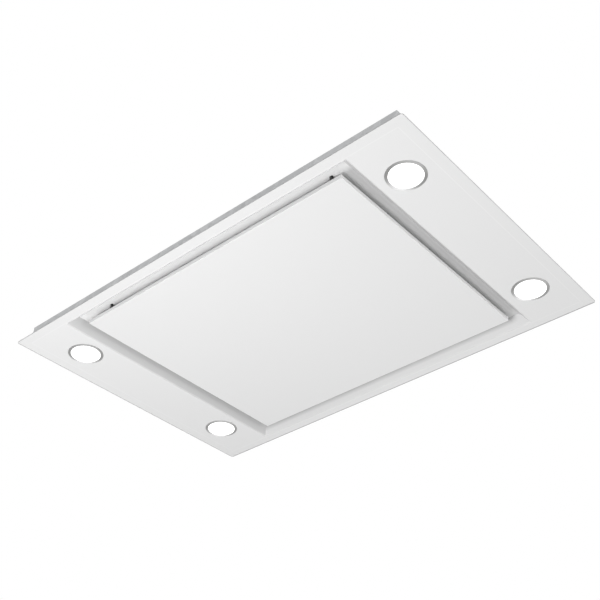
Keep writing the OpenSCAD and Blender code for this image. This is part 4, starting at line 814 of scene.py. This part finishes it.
tree, given = tree_for("closing_spring", {
    "Coils": "Float", "Coil Radius": "Float", "Wire Radius": "Float", "Height": "Float", "Place": "Vector"})
helix = add(tree, "GeometryNodeCurveSpiral", {
    "Resolution": 20, "Rotations": given["Coils"], "Start Radius": given["Coil Radius"],
    "End Radius": given["Coil Radius"], "Height": given["Height"]})
wire = add(tree, "GeometryNodeCurvePrimitiveCircle", {"Resolution": 8, "Radius": given["Wire Radius"]},
           mode="RADIUS")
coiled = add(tree, "GeometryNodeCurveToMesh", {
    "Curve": helix.outputs[0], "Profile Curve": wire.outputs["Curve"], "Fill Caps": True})
placed = add(tree, "GeometryNodeTransform", {"Geometry": coiled.outputs[0], "Translation": given["Place"]})
close_tree(tree, placed.outputs[0], spring_steel)
low, high = (Vector(corner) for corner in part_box("damper_spring"))
wire_r, spring_room = 0.0005, 0.0002
spring = grow("closing_spring", tree, {
    "Coils": 8.0, "Coil Radius": (high.x - low.x) / 2 - wire_r - spring_room, "Wire Radius": wire_r,
    "Height": high.z - low.z - 2 * wire_r,
    "Place": ((low.x + high.x) / 2, (low.y + high.y) / 2, low.z + wire_r)})
smooth(spring.data, 60)
put(spring, "closing_spring", spring_steel, stands_for=("damper_spring",))


# Controls
# A flame-retardant plastic box beside the motor housing. Inside it are the circuit board with its
# transformer and relays, the terminal block and the motor's capacitor; the lead leaves by a gland.
box_plastic = moulded("control_box_plastic", "3A3B3D", 0.0010, 0.5)
soft_edged("control_box", 0.5, box_plastic, steps=1)
soft_edged("control_lid", 0.5, box_plastic, steps=1)
white_nylon = moulded("white_nylon", "E6E5E0", 0.0010, 0.4)
soft_edged("terminal_block", 0.4, white_nylon, steps=1)
soft_edged("motor_capacitor", 0.4, white_nylon, steps=1)
soft_edged("cable_gland", 0.4, black_nylon)

circuit_board, tree, shader = finish_named("circuit_board")
# Green solder mask with paler copper tracks 1.5 mm wide; the parts standing on it are dark.
place = add(tree, "ShaderNodeTexCoord").outputs["Object"]
tracks = add(tree, "ShaderNodeTexBrick", {
    "Vector": place, "Color1": linear("1E5A2E"), "Color2": linear("236636"), "Mortar": linear("4F8A4A"),
    "Scale": 1.0, "Mortar Size": 0.0006, "Brick Width": 0.014, "Row Height": 0.004})
height = add(tree, "ShaderNodeSeparateXYZ", {0: place}).outputs["Z"]
# The board is 1.6 mm thick, and what is clearly above it is a part.
above_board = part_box("control_board")[0][2] + 0.0018
stands = calc(tree, "GREATER_THAN", height, above_board)
tone = mixed(tree, stands, tracks.outputs["Color"], linear("22262E"))
tree.links.new(tone, shader.inputs["Base Color"])
shader.inputs["Roughness"].default_value = 0.35
paint("control_board", circuit_board)


# Hangers
# Four stepped brackets of thick galvanised strip, screwed to the casing. Threaded rods from the
# ceiling pass through their slots.
strip_zinc = galvanised("galvanised_strip", "A9AEB3", "C3C7CB")
soft_edged("hangers", 0.4, strip_zinc)
